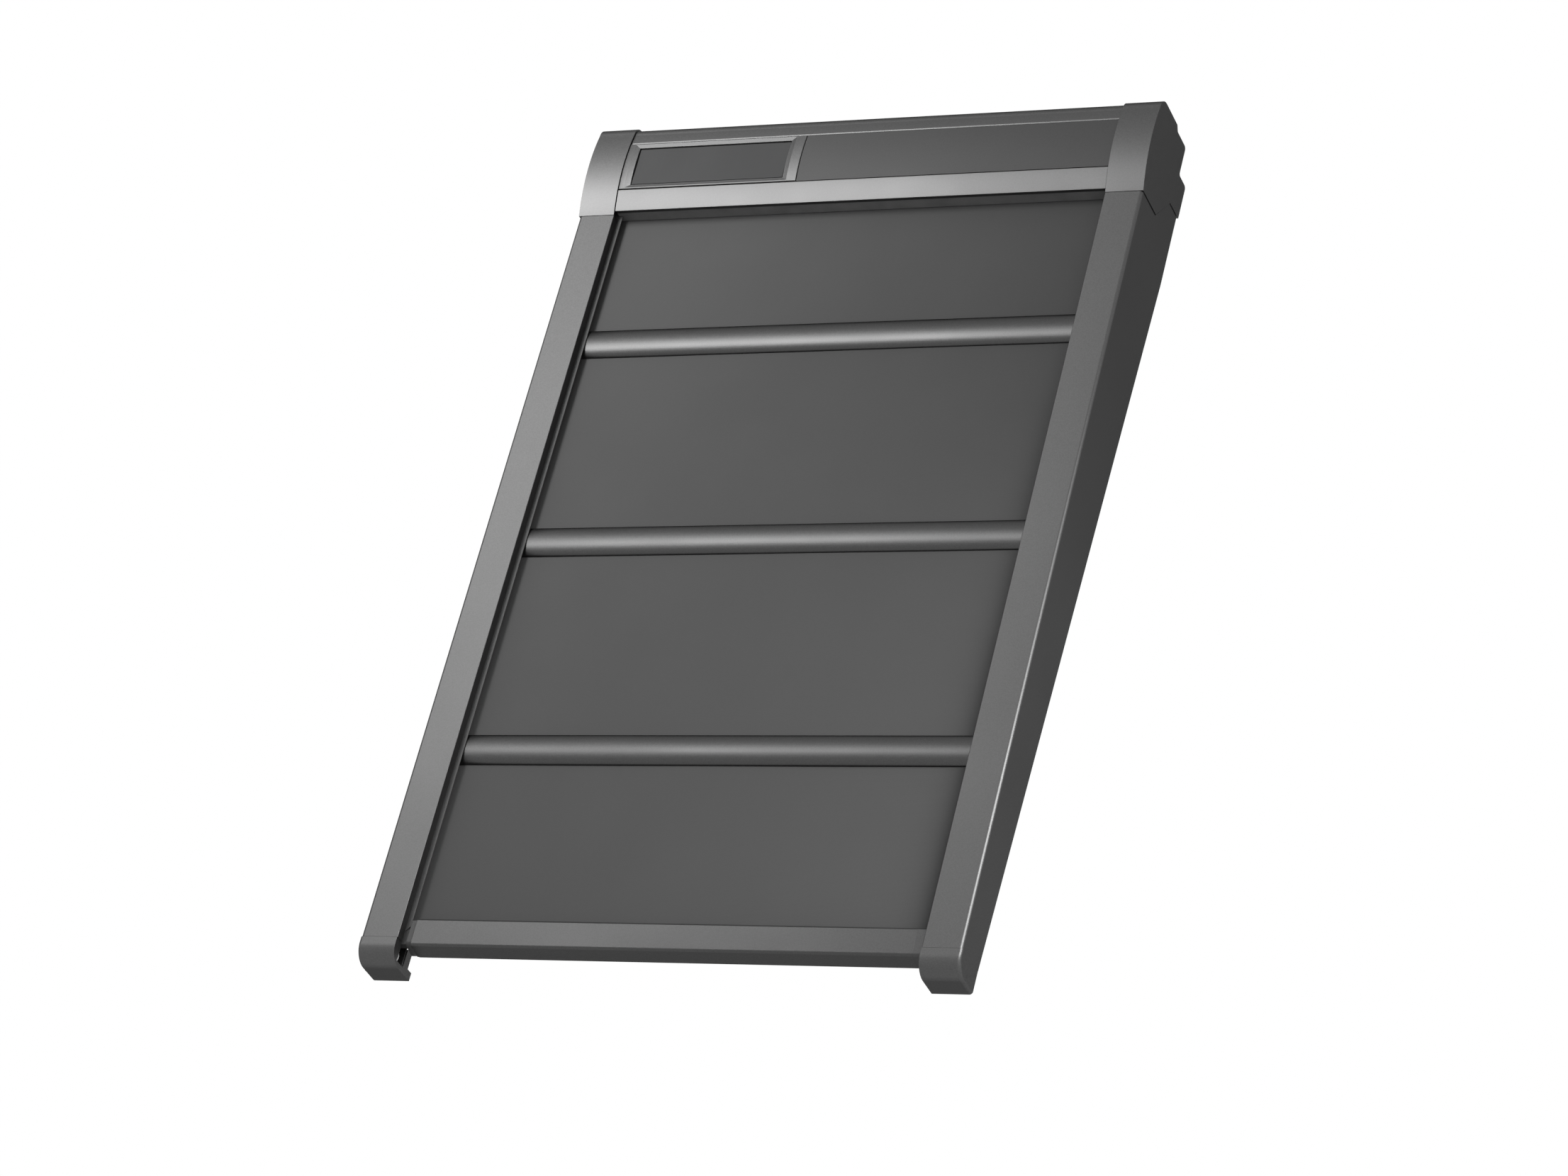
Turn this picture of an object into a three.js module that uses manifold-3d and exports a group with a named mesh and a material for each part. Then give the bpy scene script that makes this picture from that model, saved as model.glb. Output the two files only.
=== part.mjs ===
// Roof window roller shutter with a soft curtain, three stiffening bars and a solar powered head.
// Millimetres. +X to the right seen from outside, +Y in towards the roof, +Z up the slope.
// Pieces are first placed with the rails' front faces at y = 0; the whole is centred in y at the end.
import * as THREE from "three";
import { mergeVertices } from "three/addons/utils/BufferGeometryUtils.js";
import Module from "manifold-3d";

// Side rails
const railSpan = 800; // over the outer faces of both rails
const headJoint = 1128.7; // height of the joint between rails and head
const railFace = 51; // width of a rail's front face
const railWall = 1.6;
const railCorner = 2.2; // radius of the rail's outer front corner
const flankDepth = 12.1; // how far the inner flank reaches in from the front face
const skirtFootDepth = 53.3; // depth of the side skirt at the very bottom
const skirtHeadDepth = 113.5; // depth of the side skirt where its taper ends
const taperDrop = 64.7; // the taper ends this far below the head
const jointGap = 0.3; // gap between pieces that rest on each other
const fixingFlange = 39; // width of the rail's rear fixing flange
const endTrim = 1; // how far a cutting shape runs past the face that it cuts

// Guide channels in the rails
const guideLip = 6; // how far the lips reach past the flank
const guideWall = 1.3;
const guideRoom = 12; // inside depth of a channel
const guideReach = 11.7; // how far the inside of a channel reaches outwards past the flank
const guideDrop = 11; // the channels end this far below the head's top
const lipFoot = 48; // height where the front lip starts

// Foot caps
const footHeight = 32; // height of the joint between foot cap and rail
const footProud = 0.8; // how far the caps stand out past the rails at the sides and front
const footRound = 24; // depth of the rounded front edge
const footRise = 23; // and its height
const footWall = 2;
const footHeelHeight = 11; // the inner wall reaches further in below this height
const footWallDepth = 43;
const footScrewInset = 33; // the screw behind the foot cap, in from the rail's outer face
const footScrewHeight = 41;
const tabWidth = 14;
const screwRadius = 1.8;
const screwLength = 12;

// Head
const headHeight = 144.3;
const headBulge = 13; // how far the head stands out in front of the rails
const headArc = 250; // radius of the head's rounded front
const headArcRise = 78.3; // the arc's foremost line above the head's joint
const headEdge = 17; // radius of the upper front edge
const headDepth = 117;
const backCorner = 5; // bevel of the corners at the back
const ridgeStep = 6; // depth of the slope from the flat top to the lower top
const headUpperDepth = 91; // depth of the stepped-in upper back
const headRidgeDepth = 52; // the flat top ends here
const ridgeDrop = 7; // the lower top behind the ridge lies this far below the top
const ledgeDrop = 51; // and the ledge, where the back steps out, this far
const capProud = 1.2; // how far the head caps stand out past the rails at the sides
const capWall = 2.5;
const capInset = 2.5; // the hood lies this much below the caps
const notchStart = 51; // y where the head cap's lower edge turns up
const notchRise = 43; // how far it rises
const notchRun = 33; // and over what depth
const hoodWall = 1.8;
const stripRise = 6.8; // lower edge of the bright front strip above the head's joint
const stripHeight = 28.1;
const trimGap = 1; // dark joints between strip, covers and hood
const coverDrop = 35; // the covers end this far below the top
const coverInset = 1; // the matte cover lies this much below the strip
const slotFront = 10; // the curtain slot's front lip ends here
const slotBack = 33; // and its back edge starts here
const floorRise = 2.3; // underside of the head's base above the head's joint

// Solar panel
const solarLength = 258.7; // from the hood's left end
const solarBorderSide = 16;
const solarBorderEnd = 21;
const solarBorderFoot = 7.5;
const solarBorderTop = 7.5;
const solarRecess = 1.6;
const glassThickness = 3;

// Curtain
const barHeight = 43.2;
const barBulge = 9; // how far a stiffening bar stands out
const barWall = 1.3;
const barPitch = 310;
const lowestBar = 313; // height of the lowest bar's middle line
const slideClear = 0.5;
const fabricThickness = 0.8;
const plugLength = 7;
const fabricEdgeClear = 2.5;

// Bottom bar
const bottomFace = 9; // y of its front face
const bottomDepth = 25;
const bottomEdge = 26.4; // height of the front face's lower edge
const bottomHeight = 36; // of the front face
const bottomSlant = 3.9; // the underside slants down by this much towards the back
const shoeWidth = 9; // between the bar's end and the guide's lip
const bottomWall = 1.6;
const shoeSetback = 2.5; // the shoe stands back from the face
const shoeStem = 25;
const tongueRise = 3.6; // underside of the shoe's tongue above the face's lower edge
const fabricGroove = 6;

// Roller, motor and bearings
const reelClear = 8; // room between the reels and the head's back
const reelFloorClear = 15.5; // and under them, down to the head's base
const tubeRadius = 25;
const tubeWall = 1.5;
const tubeMargin = 1.8; // the tube runs this much past the curtain's edge
const rollThickness = 2.2; // curtain left on the tube when it is let down
const motorRadius = 17.5;
const motorLength = 420;
const neckRadius = 11;
const motorHeadRadius = 23;
const collarWidth = 6; // of the motor's head and the idler pin's foot
const neckGap = 4; // from the tube's end to where the motor's body starts
const shaftRadius = 4; // the motor's drive shaft
const crownWidth = 18;
const ringWidth = 12;
const idlerRadius = 5;
const idlerLength = 40; // of the plug in the tube
const bearingGap = 0.1;
const plateWall = 2.5;
const plateDrop = 48.7; // the plate starts this far below the head's joint
const plateTopDrop = 17; // and ends this far below its top
const bracketRise = 21.3; // the plate is full depth up to this far above the head's joint
const plateClear = 5; // room between the plate's back edge and the cap
const bracketWidth = 44.1;
const bracketGap = 4; // from the bracket flange up to the head's base
const bracketHole = 3; // radius of its screw holes
const runningGap = 0.5;

// Cord, reels and pulleys
const cordRadius = 1;
const reelRadius = 39; // radius of the cord's path on the reel
const reelFlange = 2.5; // flange height above the cord's path
const reelWidth = 15;
const cordInset = 26; // the cord's return run, in from the rail's outer face
const pulleyRadius = 10; // radius of the cord's path on the pulley
const pulleyHeight = 15.5;
const pulleyDepth = 19.5; // y of the pulley's middle plane
const pulleyWidth = 6;
const pinRadius = 2;

// Parts inside the head
const batterySize = [240, 26, 26];
const batteryInset = 38.7; // from the hood's left end
const controlSize = [130, 26, 22];
const controlGap = 45; // between battery and control unit
const leadRadius = 1.5;

const wasm = await Module();
wasm.setup();

// Heights worked out from the driving dimensions
const headTop = headJoint + headHeight;
const headArcHeight = headJoint + headArcRise;
const headShelf = headTop - ridgeDrop;
const headLedge = headTop - ledgeDrop;
const headFloor = headJoint + floorRise;
const stripFoot = headJoint + stripRise;
const stripTop = stripFoot + stripHeight;
const coverTop = headTop - coverDrop;
const skirtTaperTop = headJoint - taperDrop;
const guideTop = headTop - guideDrop;
const reelRim = reelRadius + reelFlange;
const rollerHeight = headFloor + reelFloorClear + reelRim;
const plateFoot = headJoint - plateDrop;
const plateTop = headTop - plateTopDrop;
const bracketTop = headJoint + bracketRise;
const bracketEnd = headFloor - bracketGap;
const bottomTop = bottomEdge + bottomHeight;
const bottomUnder = bottomEdge - bottomSlant;
const shoeFoot = bottomEdge + tongueRise;

// Depths and widths worked out from the driving dimensions
const railOuter = railSpan / 2;
const railInner = railOuter - railFace;
const guideFront = flankDepth + jointGap;
const guideInside = guideFront + guideWall; // y of the channel's front inner face
const guideBack = guideInside + guideRoom + guideWall;
const guideEdge = railInner - guideLip; // x of the lips' free edges
const guideDeep = railInner + guideReach; // x of the channel's inner end
const webInner = guideDeep + guideWall + jointGap;
const flangeFront = guideBack + jointGap;
const barFront = guideInside + slideClear;
const barBack = barFront + barBulge;
const fabricFront = barBack + jointGap;
const fabricBack = fabricFront + fabricThickness;
const slideBack = guideInside + guideRoom - jointGap;
const plugEnd = guideDeep - slideClear * 2;
const barHalf = plugEnd - plugLength;
const fabricHalf = guideDeep - fabricEdgeClear;
const headArcDepth = headArc - headBulge; // y of the front arc's centre
const capInner = railInner + jointGap;
const hoodHalf = capInner - jointGap * 2;
const solarEnd = solarLength - hoodHalf; // x of the solar frame's right end
const rollerDepth = headDepth - capWall - reelClear - reelRim;
const tubeHalf = fabricHalf + tubeMargin;
const bottomHalf = guideEdge - shoeWidth;
const cordReturn = railOuter - cordInset; // x of the cord's return run
const footScrewAcross = railOuter - footScrewInset;
const bracketFace = headDepth - capWall; // y of the bracket's back face
const stripRadius = headArc - 1.5;
const plateFace = railOuter - railWall - jointGap - plateWall; // inner face of a side plate
const reelBore = neckRadius + runningGap;
const bracketInner = plateFace + plateWall - bracketWidth;
const batteryCentre = batteryInset + batterySize[0] / 2 - hoodHalf;
const controlCentre = batteryCentre + batterySize[0] / 2 + controlGap + controlSize[0] / 2;
const flangeBack = flangeFront + railWall;
const pinSeat = flangeBack + jointGap; // y of the rib and tab that hold the foot cap
const roundSteps = 32;

const finish = (color, roughness, metalness) => ({ color, roughness, metalness });
const paint = finish(0x8b8d8f, 0.42, 0.7);
const darkPaint = finish(0x5d5f61, 0.6, 0.4);
const steel = finish(0xb4b6b8, 0.35, 0.9);
const plastic = finish(0x3a3b3c, 0.6, 0);
const palePlastic = finish(0xd8d8d4, 0.5, 0);
const rubber = finish(0x1c1c1d, 0.85, 0);
const cloth = finish(0x55575a, 0.9, 0);
const solarGlass = finish(0x2c2e31, 0.12, 0.1);

// Turns a closed geometry into a solid that can be joined and cut.
function solidOf(geometry) {
  const bare = geometry.index ? geometry.toNonIndexed() : geometry.clone();
  bare.deleteAttribute("normal");
  bare.deleteAttribute("uv");
  const merged = mergeVertices(bare, 1e-4);
  const triVerts = new Uint32Array(merged.index.array);
  const vertProperties = merged.attributes.position.array;
  return new wasm.Manifold(new wasm.Mesh({ numProp: 3, vertProperties, triVerts }));
}

function geometryOf(solid) {
  const { vertProperties, triVerts } = solid.getMesh();
  const geometry = new THREE.BufferGeometry();
  geometry.setAttribute("position", new THREE.BufferAttribute(vertProperties, 3));
  geometry.setIndex(new THREE.BufferAttribute(triVerts, 1));
  const flat = geometry.toNonIndexed();
  flat.computeVertexNormals();
  return flat;
}

function extrude(outline, depth) {
  const shape = new THREE.Shape(outline.map(([u, v]) => new THREE.Vector2(u, v)));
  return new THREE.ExtrudeGeometry(shape, { depth, bevelEnabled: false });
}

// An outline of [y, z] points pulled along x.
function alongX(outline, x0, x1) {
  const turn = new THREE.Matrix4().set(0, 0, 1, x0, 1, 0, 0, 0, 0, 1, 0, 0, 0, 0, 0, 1);
  return solidOf(extrude(outline, x1 - x0).applyMatrix4(turn));
}

// An outline of [x, z] points pulled along y.
function alongY(outline, y0, y1) {
  const turn = new THREE.Matrix4().set(1, 0, 0, 0, 0, 0, -1, y1, 0, 1, 0, 0, 0, 0, 0, 1);
  return solidOf(extrude(outline, y1 - y0).applyMatrix4(turn));
}

// An outline of [x, y] points pulled along z.
function alongZ(outline, z0, z1) {
  return solidOf(extrude(outline, z1 - z0).translate(0, 0, z0));
}

function block(x0, x1, y0, y1, z0, z1) {
  const middle = [(x0 + x1) / 2, (y0 + y1) / 2, (z0 + z1) / 2];
  return solidOf(new THREE.BoxGeometry(x1 - x0, y1 - y0, z1 - z0).translate(...middle));
}

const join = (first, ...rest) => rest.reduce((whole, piece) => whole.add(piece), first);
const cut = (first, ...rest) => rest.reduce((whole, piece) => whole.subtract(piece), first);

// A profile of [position, radius] points, turned about an axis through the origin along z.
function turned(profile, steps = roundSteps) {
  const points = profile.map(([along, radius]) => new THREE.Vector2(radius, along));
  const lathe = new THREE.LatheGeometry(points, steps);
  lathe.rotateX(Math.PI / 2);
  return solidOf(lathe);
}

// A ring, or a disc where the bore is 0, between two positions on its axis.
function ringProfile(from, to, radius, bore = 0) {
  if (bore > 0) {
    return [[from, bore], [from, radius], [to, radius], [to, bore], [from, bore]];
  }
  return [[from, 0], [from, radius], [to, radius], [to, 0]];
}

const layOnX = (solid, y, z) => solid.rotate([0, 90, 0]).translate([0, y, z]);
const layOnY = (solid, x, z) => solid.rotate([90, 0, 0]).translate([x, 0, z]);

// Points on an arc, from one angle to another, in degrees.
function arc(centreU, centreV, radiusU, radiusV, from, to, steps) {
  return Array.from({ length: steps + 1 }, (_, i) => {
    const angle = THREE.MathUtils.degToRad(from + ((to - from) * i) / steps);
    return [centreU + radiusU * Math.cos(angle), centreV + radiusV * Math.sin(angle)];
  });
}

// Where the head's rounded front lies at a height, for a given radius about the front arc's centre.
const frontAt = (height, radius) => headArcDepth - Math.sqrt(radius ** 2 - (height - headArcHeight) ** 2);

// Points up the head's rounded front between two heights.
function frontArc(radius, low, high, steps) {
  return Array.from({ length: steps + 1 }, (_, i) => {
    const height = low + ((high - low) * i) / steps;
    return [frontAt(height, radius), height];
  });
}

const skirtDepth = (height) =>
  Math.min(skirtFootDepth + ((skirtHeadDepth - skirtFootDepth) * height) / skirtTaperTop, skirtHeadDepth);

// The head's outline in y and z, drawn in by an inset: up the front from a height, and over the top.
function headUpper(inset, foot) {
  const radius = headArc - inset;
  const top = headTop - inset;
  const edgeFoot = headTop - headEdge;
  const edge = headEdge - inset;
  const upper = headUpperDepth - inset;
  const shelf = headShelf - inset;
  return [
    ...frontArc(radius, foot, edgeFoot, 8),
    ...arc(frontAt(edgeFoot, radius) + edge, edgeFoot, edge, top - edgeFoot, 180, 90, 6).slice(1),
    [headRidgeDepth - inset, top],
    [headRidgeDepth + ridgeStep - inset, shelf],
    [upper - backCorner, shelf],
    [upper, shelf - backCorner],
  ];
}

// And down its back over the ledge.
function headLower(inset) {
  const upper = headUpperDepth - inset;
  const ledge = headLedge - inset;
  const back = headDepth - inset;
  return [
    [upper, ledge + 8],
    [upper + backCorner, ledge],
    [back - backCorner, ledge],
    [back, ledge - backCorner],
  ];
}

const root = new THREE.Group();
const middle = new THREE.Group();
const rightSide = new THREE.Group();
const leftSide = new THREE.Group();
leftSide.scale.x = -1;
root.add(middle, rightSide, leftSide);

function addPiece(group, name, solid, look) {
  const mesh = new THREE.Mesh(geometryOf(solid), new THREE.MeshStandardMaterial(look));
  mesh.name = name;
  group.add(mesh);
}

// A piece that both sides have, made for the right and mirrored for the left.
function addPair(name, solid, look) {
  addPiece(rightSide, name + "_right", solid, look);
  addPiece(leftSide, name + "_left", solid, look);
}

// A round hole that runs straight in from behind, between two depths.
function holeFromBehind(x, z, radius, y0, y1) {
  return layOnY(turned(ringProfile(-y1, -y0, radius), 16), x, z);
}

// The foot screw's hole goes through the rail's flange and the foot cap's tab.
function footScrewHole() {
  const radius = screwRadius + jointGap;
  const end = pinSeat + footWall + endTrim;
  return holeFromBehind(footScrewAcross, footScrewHeight, radius, flangeFront - endTrim, end);
}

// Side rail: front face with a rounded corner, skirt, inner flank, web and fixing flange.
function sideRail() {
  const low = footHeight + jointGap;
  const high = headJoint - jointGap;
  const corner = arc(railOuter - railCorner, railCorner, railCorner, railCorner, -90, 0, 4);
  const shoulder = railCorner + railWall;
  const face = alongZ(
    [
      [railInner, 0],
      ...corner,
      [railOuter, shoulder],
      [railOuter - railWall, shoulder],
      [railOuter - railWall, railWall],
      [railInner, railWall],
    ],
    low,
    high,
  );
  const skirt = alongX(
    [
      [railCorner, low],
      [skirtDepth(low), low],
      [skirtHeadDepth, skirtTaperTop],
      [skirtHeadDepth, high + notchRise],
      [notchStart + notchRun, high + notchRise],
      [notchStart, high],
      [railCorner, high],
    ],
    railOuter - railWall,
    railOuter,
  );
  const flank = block(railInner, railInner + railWall, 0, flankDepth, low, high);
  const web = block(webInner, webInner + railWall, 0, flangeBack, low, high);
  const flangeStart = railInner - guideLip + guideWall;
  const flange = block(flangeStart, flangeStart + fixingFlange, flangeFront, flangeBack, low, high);
  return cut(join(face, skirt, flank, web, flange), footScrewHole());
}
addPair("side_rail", sideRail(), paint);

// Guide channel: a plastic liner open towards the curtain, with a lip in front and one behind.
// The one behind ends at the head, where the curtain leaves for the roller.
function guideChannel() {
  const low = footHeight + jointGap * 2;
  const outer = guideDeep + guideWall;
  const lip = alongY(
    [
      [guideEdge, lipFoot + guideLip],
      [guideEdge + guideLip, lipFoot],
      [outer, lipFoot],
      [outer, guideTop],
      [guideEdge, guideTop],
    ],
    guideFront,
    guideInside,
  );
  const side = block(guideDeep, outer, guideFront, guideBack, low, guideTop);
  const back = block(guideEdge, outer, guideBack - guideWall, guideBack, low, headFloor);
  return join(lip, side, back);
}
addPair("guide_channel", guideChannel(), plastic);

// Foot cap: a shell with a rounded front edge, which holds the cord's pulley.
const footDepth = skirtDepth(0);
function footOutline(inset) {
  const front = inset - footProud;
  return [
    [footDepth, inset],
    [footDepth, footHeight],
    [front, footHeight],
    ...arc(front + footRound, inset + footRise, footRound, footRise, 180, 270, 8),
  ].reverse();
}

// Where the rounded front lies at a height, for the same inset.
function footFrontAt(height, inset) {
  const share = (inset + footRise - height) / footRise;
  return inset - footProud + footRound * (1 - Math.sqrt(1 - share ** 2));
}

function footCap() {
  const outer = railOuter + footProud;
  const past = footHeight;
  const shell = alongX(footOutline(0), railInner, outer);
  const inner = footOutline(footWall).map(([y, z]) => [
    y === footDepth ? y + past : y,
    z === footHeight ? z + past : z,
  ]);
  const room = alongX(inner, railInner + footWall, outer - footWall);
  const wallEnd = railInner + footWall + jointGap;
  const heel = block(0, wallEnd, footWallDepth, footDepth + past, footHeelHeight, footHeight + 1);
  const window = block(0, wallEnd, guideInside - 1, pinSeat + footWall, pulleyHeight, footHeight + 1);
  const rib = block(wallEnd, outer - footWall / 2, pinSeat, pinSeat + footWall, footWall / 2, footHeight - 1);
  const tab = block(
    footScrewAcross - tabWidth / 2,
    footScrewAcross + tabWidth / 2,
    pinSeat,
    pinSeat + footWall,
    footHeight - 2,
    footScrewHeight + tabWidth / 2,
  );
  return cut(join(cut(shell, room, heel, window), rib, tab), footScrewHole());
}

addPair("foot_cap", footCap(), paint);

function footScrew() {
  const seat = -pinSeat - footWall - jointGap;
  const profile = [
    [seat - 2.5, 0],
    [seat - 2.5, 2],
    [seat - 1.8, 2 * screwRadius],
    [seat, 2 * screwRadius],
    [seat, screwRadius],
    [seat + screwLength, screwRadius],
    [seat + screwLength, 0],
  ];
  return layOnY(turned(profile, 12), footScrewAcross, footScrewHeight);
}
addPair("foot_screw", footScrew(), steel);

const pulleyCentre = cordReturn - pulleyRadius;
function pulleyPin() {
  const front = footFrontAt(pulleyHeight - pinRadius, footWall) + jointGap;
  return layOnY(turned(ringProfile(jointGap - pinSeat, -front, pinRadius), 16), pulleyCentre, pulleyHeight);
}
addPair("pulley_pin", pulleyPin(), steel);

function cordPulley() {
  const half = pulleyWidth / 2;
  const groove = pulleyRadius - cordRadius;
  const rim = pulleyRadius + cordRadius;
  const bore = pinRadius + bearingGap;
  const profile = [
    [-half, bore],
    [-half, rim],
    [-half + 1, rim],
    [-cordRadius, groove - 0.3],
    [cordRadius, groove - 0.3],
    [half - 1, rim],
    [half, rim],
    [half, bore],
    [-half, bore],
  ];
  return layOnY(turned(profile, 24), pulleyCentre, pulleyHeight).translate([0, pulleyDepth, 0]);
}
addPair("cord_pulley", cordPulley(), palePlastic);

// Head caps: hollow end shells of the head, open below and towards the middle.
function headCap() {
  const outer = railOuter + capProud;
  const notchTop = headJoint + notchRise;
  const foot = [
    [headDepth, notchTop],
    [notchStart + notchRun, notchTop],
    [notchStart, headJoint],
  ];
  const outside = [...headUpper(0, headJoint), ...headLower(0), ...foot];
  const below = headJoint - footHeight;
  const inside = [
    ...headUpper(capWall, headJoint),
    ...headLower(capWall),
    [headDepth - capWall, below],
    [frontAt(headJoint, headArc - capWall), below],
  ];
  const shell = alongX(outside.reverse(), capInner, outer);
  const room = alongX(inside.reverse(), capInner - 1, outer - capWall);
  return cut(shell, room);
}
addPair("head_cap", headCap(), paint);

// Hood: the curved top shell between the caps, down to the ledge at the back.
const hoodHem = headLedge + 12;
function hood() {
  const skin = (inset) => [
    ...headUpper(inset, coverTop + trimGap),
    [headUpperDepth - inset, hoodHem],
  ];
  const outside = skin(capInset);
  const inside = skin(capInset + hoodWall);
  return alongX([...inside, ...outside.reverse()], -hoodHalf, hoodHalf);
}
addPiece(middle, "head_hood", hood(), paint);

// Base: the head's rear and underside, behind the curtain slot.
function headBase() {
  const skin = (inset) => {
    const back = headDepth - capInset - inset;
    return [
      [headUpperDepth - capInset - inset, hoodHem - jointGap],
      ...headLower(capInset + inset),
      [back, headJoint + notchRise],
      [back - 8, headFloor + inset],
      [slotBack, headFloor + inset],
    ];
  };
  return alongX([...skin(hoodWall), ...skin(0).reverse()], -hoodHalf, hoodHalf);
}
addPiece(middle, "head_base", headBase(), darkPaint);

// Front strip: the bright lower trim with a lip that turns in under it.
function frontStrip() {
  const inside = stripRadius - hoodWall;
  return alongX(
    [
      ...frontArc(stripRadius, stripFoot, stripTop, 4),
      ...frontArc(inside, stripFoot + hoodWall, stripTop, 4).reverse(),
      [slotFront, stripFoot + hoodWall],
      [slotFront, stripFoot],
    ].reverse(),
    -hoodHalf,
    hoodHalf,
  );
}
addPiece(middle, "front_strip", frontStrip(), paint);

// The trims above the strip share this curved plate.
function curvedPlate(radius, thickness, x0, x1) {
  const low = stripTop + trimGap;
  const outside = frontArc(radius, low, coverTop, 6);
  const inside = frontArc(radius - thickness, low, coverTop, 6);
  return alongX([...inside, ...outside.reverse()], x0, x1);
}
addPiece(
  middle,
  "front_cover",
  curvedPlate(stripRadius - coverInset, 2, solarEnd + trimGap, hoodHalf),
  darkPaint,
);

// Solar frame: a curved plate with a window, and a ledge behind it that carries the glass.
const glassLeft = -hoodHalf + solarBorderSide;
const glassRight = solarEnd - solarBorderEnd;
const glassFoot = stripTop + trimGap + solarBorderFoot;
const glassTop = coverTop - solarBorderTop;
const glassFace = Math.max(frontAt(glassFoot, stripRadius), frontAt(glassTop, stripRadius)) + solarRecess;
function solarFrame() {
  const ledge = 3;
  const rim = hoodWall;
  const plate = curvedPlate(stripRadius, 2.4, -hoodHalf, solarEnd);
  const tray = block(
    glassLeft - rim,
    glassRight + rim,
    -headBulge + solarRecess,
    glassFace + glassThickness + 2 * jointGap + rim,
    glassFoot - rim,
    glassTop + rim,
  );
  const opening = block(
    glassLeft - jointGap,
    glassRight + jointGap,
    -2 * headBulge,
    glassFace + glassThickness + jointGap,
    glassFoot - jointGap,
    glassTop + jointGap,
  );
  const through = block(
    glassLeft + ledge,
    glassRight - ledge,
    -2 * headBulge,
    headDepth,
    glassFoot + ledge,
    glassTop - ledge,
  );
  const front = alongX(
    [
      ...frontArc(stripRadius, glassFoot - rim, glassTop + rim, 6),
      [headDepth, glassTop + rim],
      [headDepth, glassFoot - rim],
    ].reverse(),
    -railOuter,
    railOuter,
  );
  return cut(join(plate, tray.intersect(front)), opening, through);
}
addPiece(middle, "solar_frame", solarFrame(), paint);
addPiece(
  middle,
  "solar_glass",
  block(glassLeft, glassRight, glassFace, glassFace + glassThickness, glassFoot, glassTop),
  solarGlass,
);

// Wiper: a rubber strip along the slot's back edge that the curtain runs past.
function slotWiper() {
  const front = fabricBack + slideClear;
  return alongX(
    [
      [slotBack - jointGap, headFloor],
      [slotBack - jointGap, headFloor + 6],
      [slotBack - 2.5, headFloor + 6],
      [front, headFloor + 1.5],
      [front, headFloor],
    ],
    -guideEdge + 2,
    guideEdge - 2,
  );
}
addPiece(middle, "slot_wiper", slotWiper(), rubber);

// Side plate: carries the roller and reel, and turns in behind as the fixing bracket.
function sidePlate() {
  const front = flangeBack + jointGap;
  const back = headDepth - capWall - plateClear;
  const upper = headUpperDepth - capWall - plateClear;
  const web = alongX(
    [
      [front, plateFoot],
      [bracketFace, plateFoot],
      [bracketFace, bracketTop],
      [back, bracketTop + plateClear],
      [back, headLedge - 2 * plateClear],
      [upper, headLedge - plateClear],
      [upper, plateTop],
      [front, plateTop],
    ],
    plateFace,
    plateFace + plateWall,
  );
  const outer = plateFace + plateWall;
  const bracket = block(bracketInner, outer, bracketFace - plateWall, bracketFace, plateFoot, bracketEnd);
  const holes = [0.25, 0.75].map((share) => {
    const x = (bracketInner + plateFace) / 2;
    const z = plateFoot + (bracketEnd - plateFoot) * share;
    return holeFromBehind(x, z, bracketHole, bracketFace - 2 * plateWall, bracketFace + endTrim);
  });
  return cut(join(web, bracket), ...holes);
}
addPair("side_plate", sidePlate(), steel);

// Roller tube with the curtain left on it, and the plugs that turn with it.
const onRoller = (solid) => layOnX(solid, rollerDepth, rollerHeight);
const ringOnRoller = (from, to, radius, bore) => onRoller(turned(ringProfile(from, to, radius, bore)));
const tubeBore = tubeRadius - tubeWall;
const tube = ringOnRoller(-tubeHalf, tubeHalf, tubeRadius, tubeBore);
addPiece(middle, "roller_tube", tube, steel);
const rollBore = tubeRadius + jointGap;
const roll = ringOnRoller(-fabricHalf, fabricHalf, rollBore + rollThickness, rollBore);
addPiece(middle, "curtain_roll", roll, cloth);

const plugRadius = tubeBore - jointGap;
const motorStart = -tubeHalf;
const motorEnd = motorStart + motorLength;
const shaftBore = shaftRadius + bearingGap;
const crown = ringOnRoller(motorEnd + runningGap, motorEnd + crownWidth, plugRadius, shaftBore);
addPiece(middle, "drive_crown", crown, plastic);
const motorBore = motorRadius + runningGap;
const crownRing = ringOnRoller(motorStart, motorStart + ringWidth, plugRadius, motorBore);
addPiece(middle, "crown_ring", crownRing, plastic);
const idlerBore = idlerRadius + bearingGap;
const idlerPlug = ringOnRoller(tubeHalf - idlerLength, tubeHalf, plugRadius, idlerBore);
addPiece(middle, "idler_plug", idlerPlug, plastic);

// Tubular motor: a fixed body inside the tube, with its neck through the left reel.
const motorSolid = turned([
  [-plateFace + jointGap, 0],
  [-plateFace + jointGap, motorHeadRadius],
  [-plateFace + collarWidth, motorHeadRadius],
  [-plateFace + collarWidth, neckRadius],
  [motorStart - neckGap, neckRadius],
  [motorStart - neckGap, motorRadius],
  [motorEnd, motorRadius],
  [motorEnd, shaftRadius],
  [motorEnd + crownWidth - 2, shaftRadius],
  [motorEnd + crownWidth - 2, 0],
]);
addPiece(middle, "tubular_motor", onRoller(motorSolid), darkPaint);

const idlerSolid = turned([
  [tubeHalf - idlerLength + neckGap, 0],
  [tubeHalf - idlerLength + neckGap, idlerRadius],
  [tubeHalf + neckGap, idlerRadius],
  [tubeHalf + neckGap, neckRadius],
  [plateFace - collarWidth, neckRadius],
  [plateFace - collarWidth, motorHeadRadius],
  [plateFace - jointGap, motorHeadRadius],
  [plateFace - jointGap, 0],
]);
addPiece(middle, "idler_pin", onRoller(idlerSolid), steel);

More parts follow.
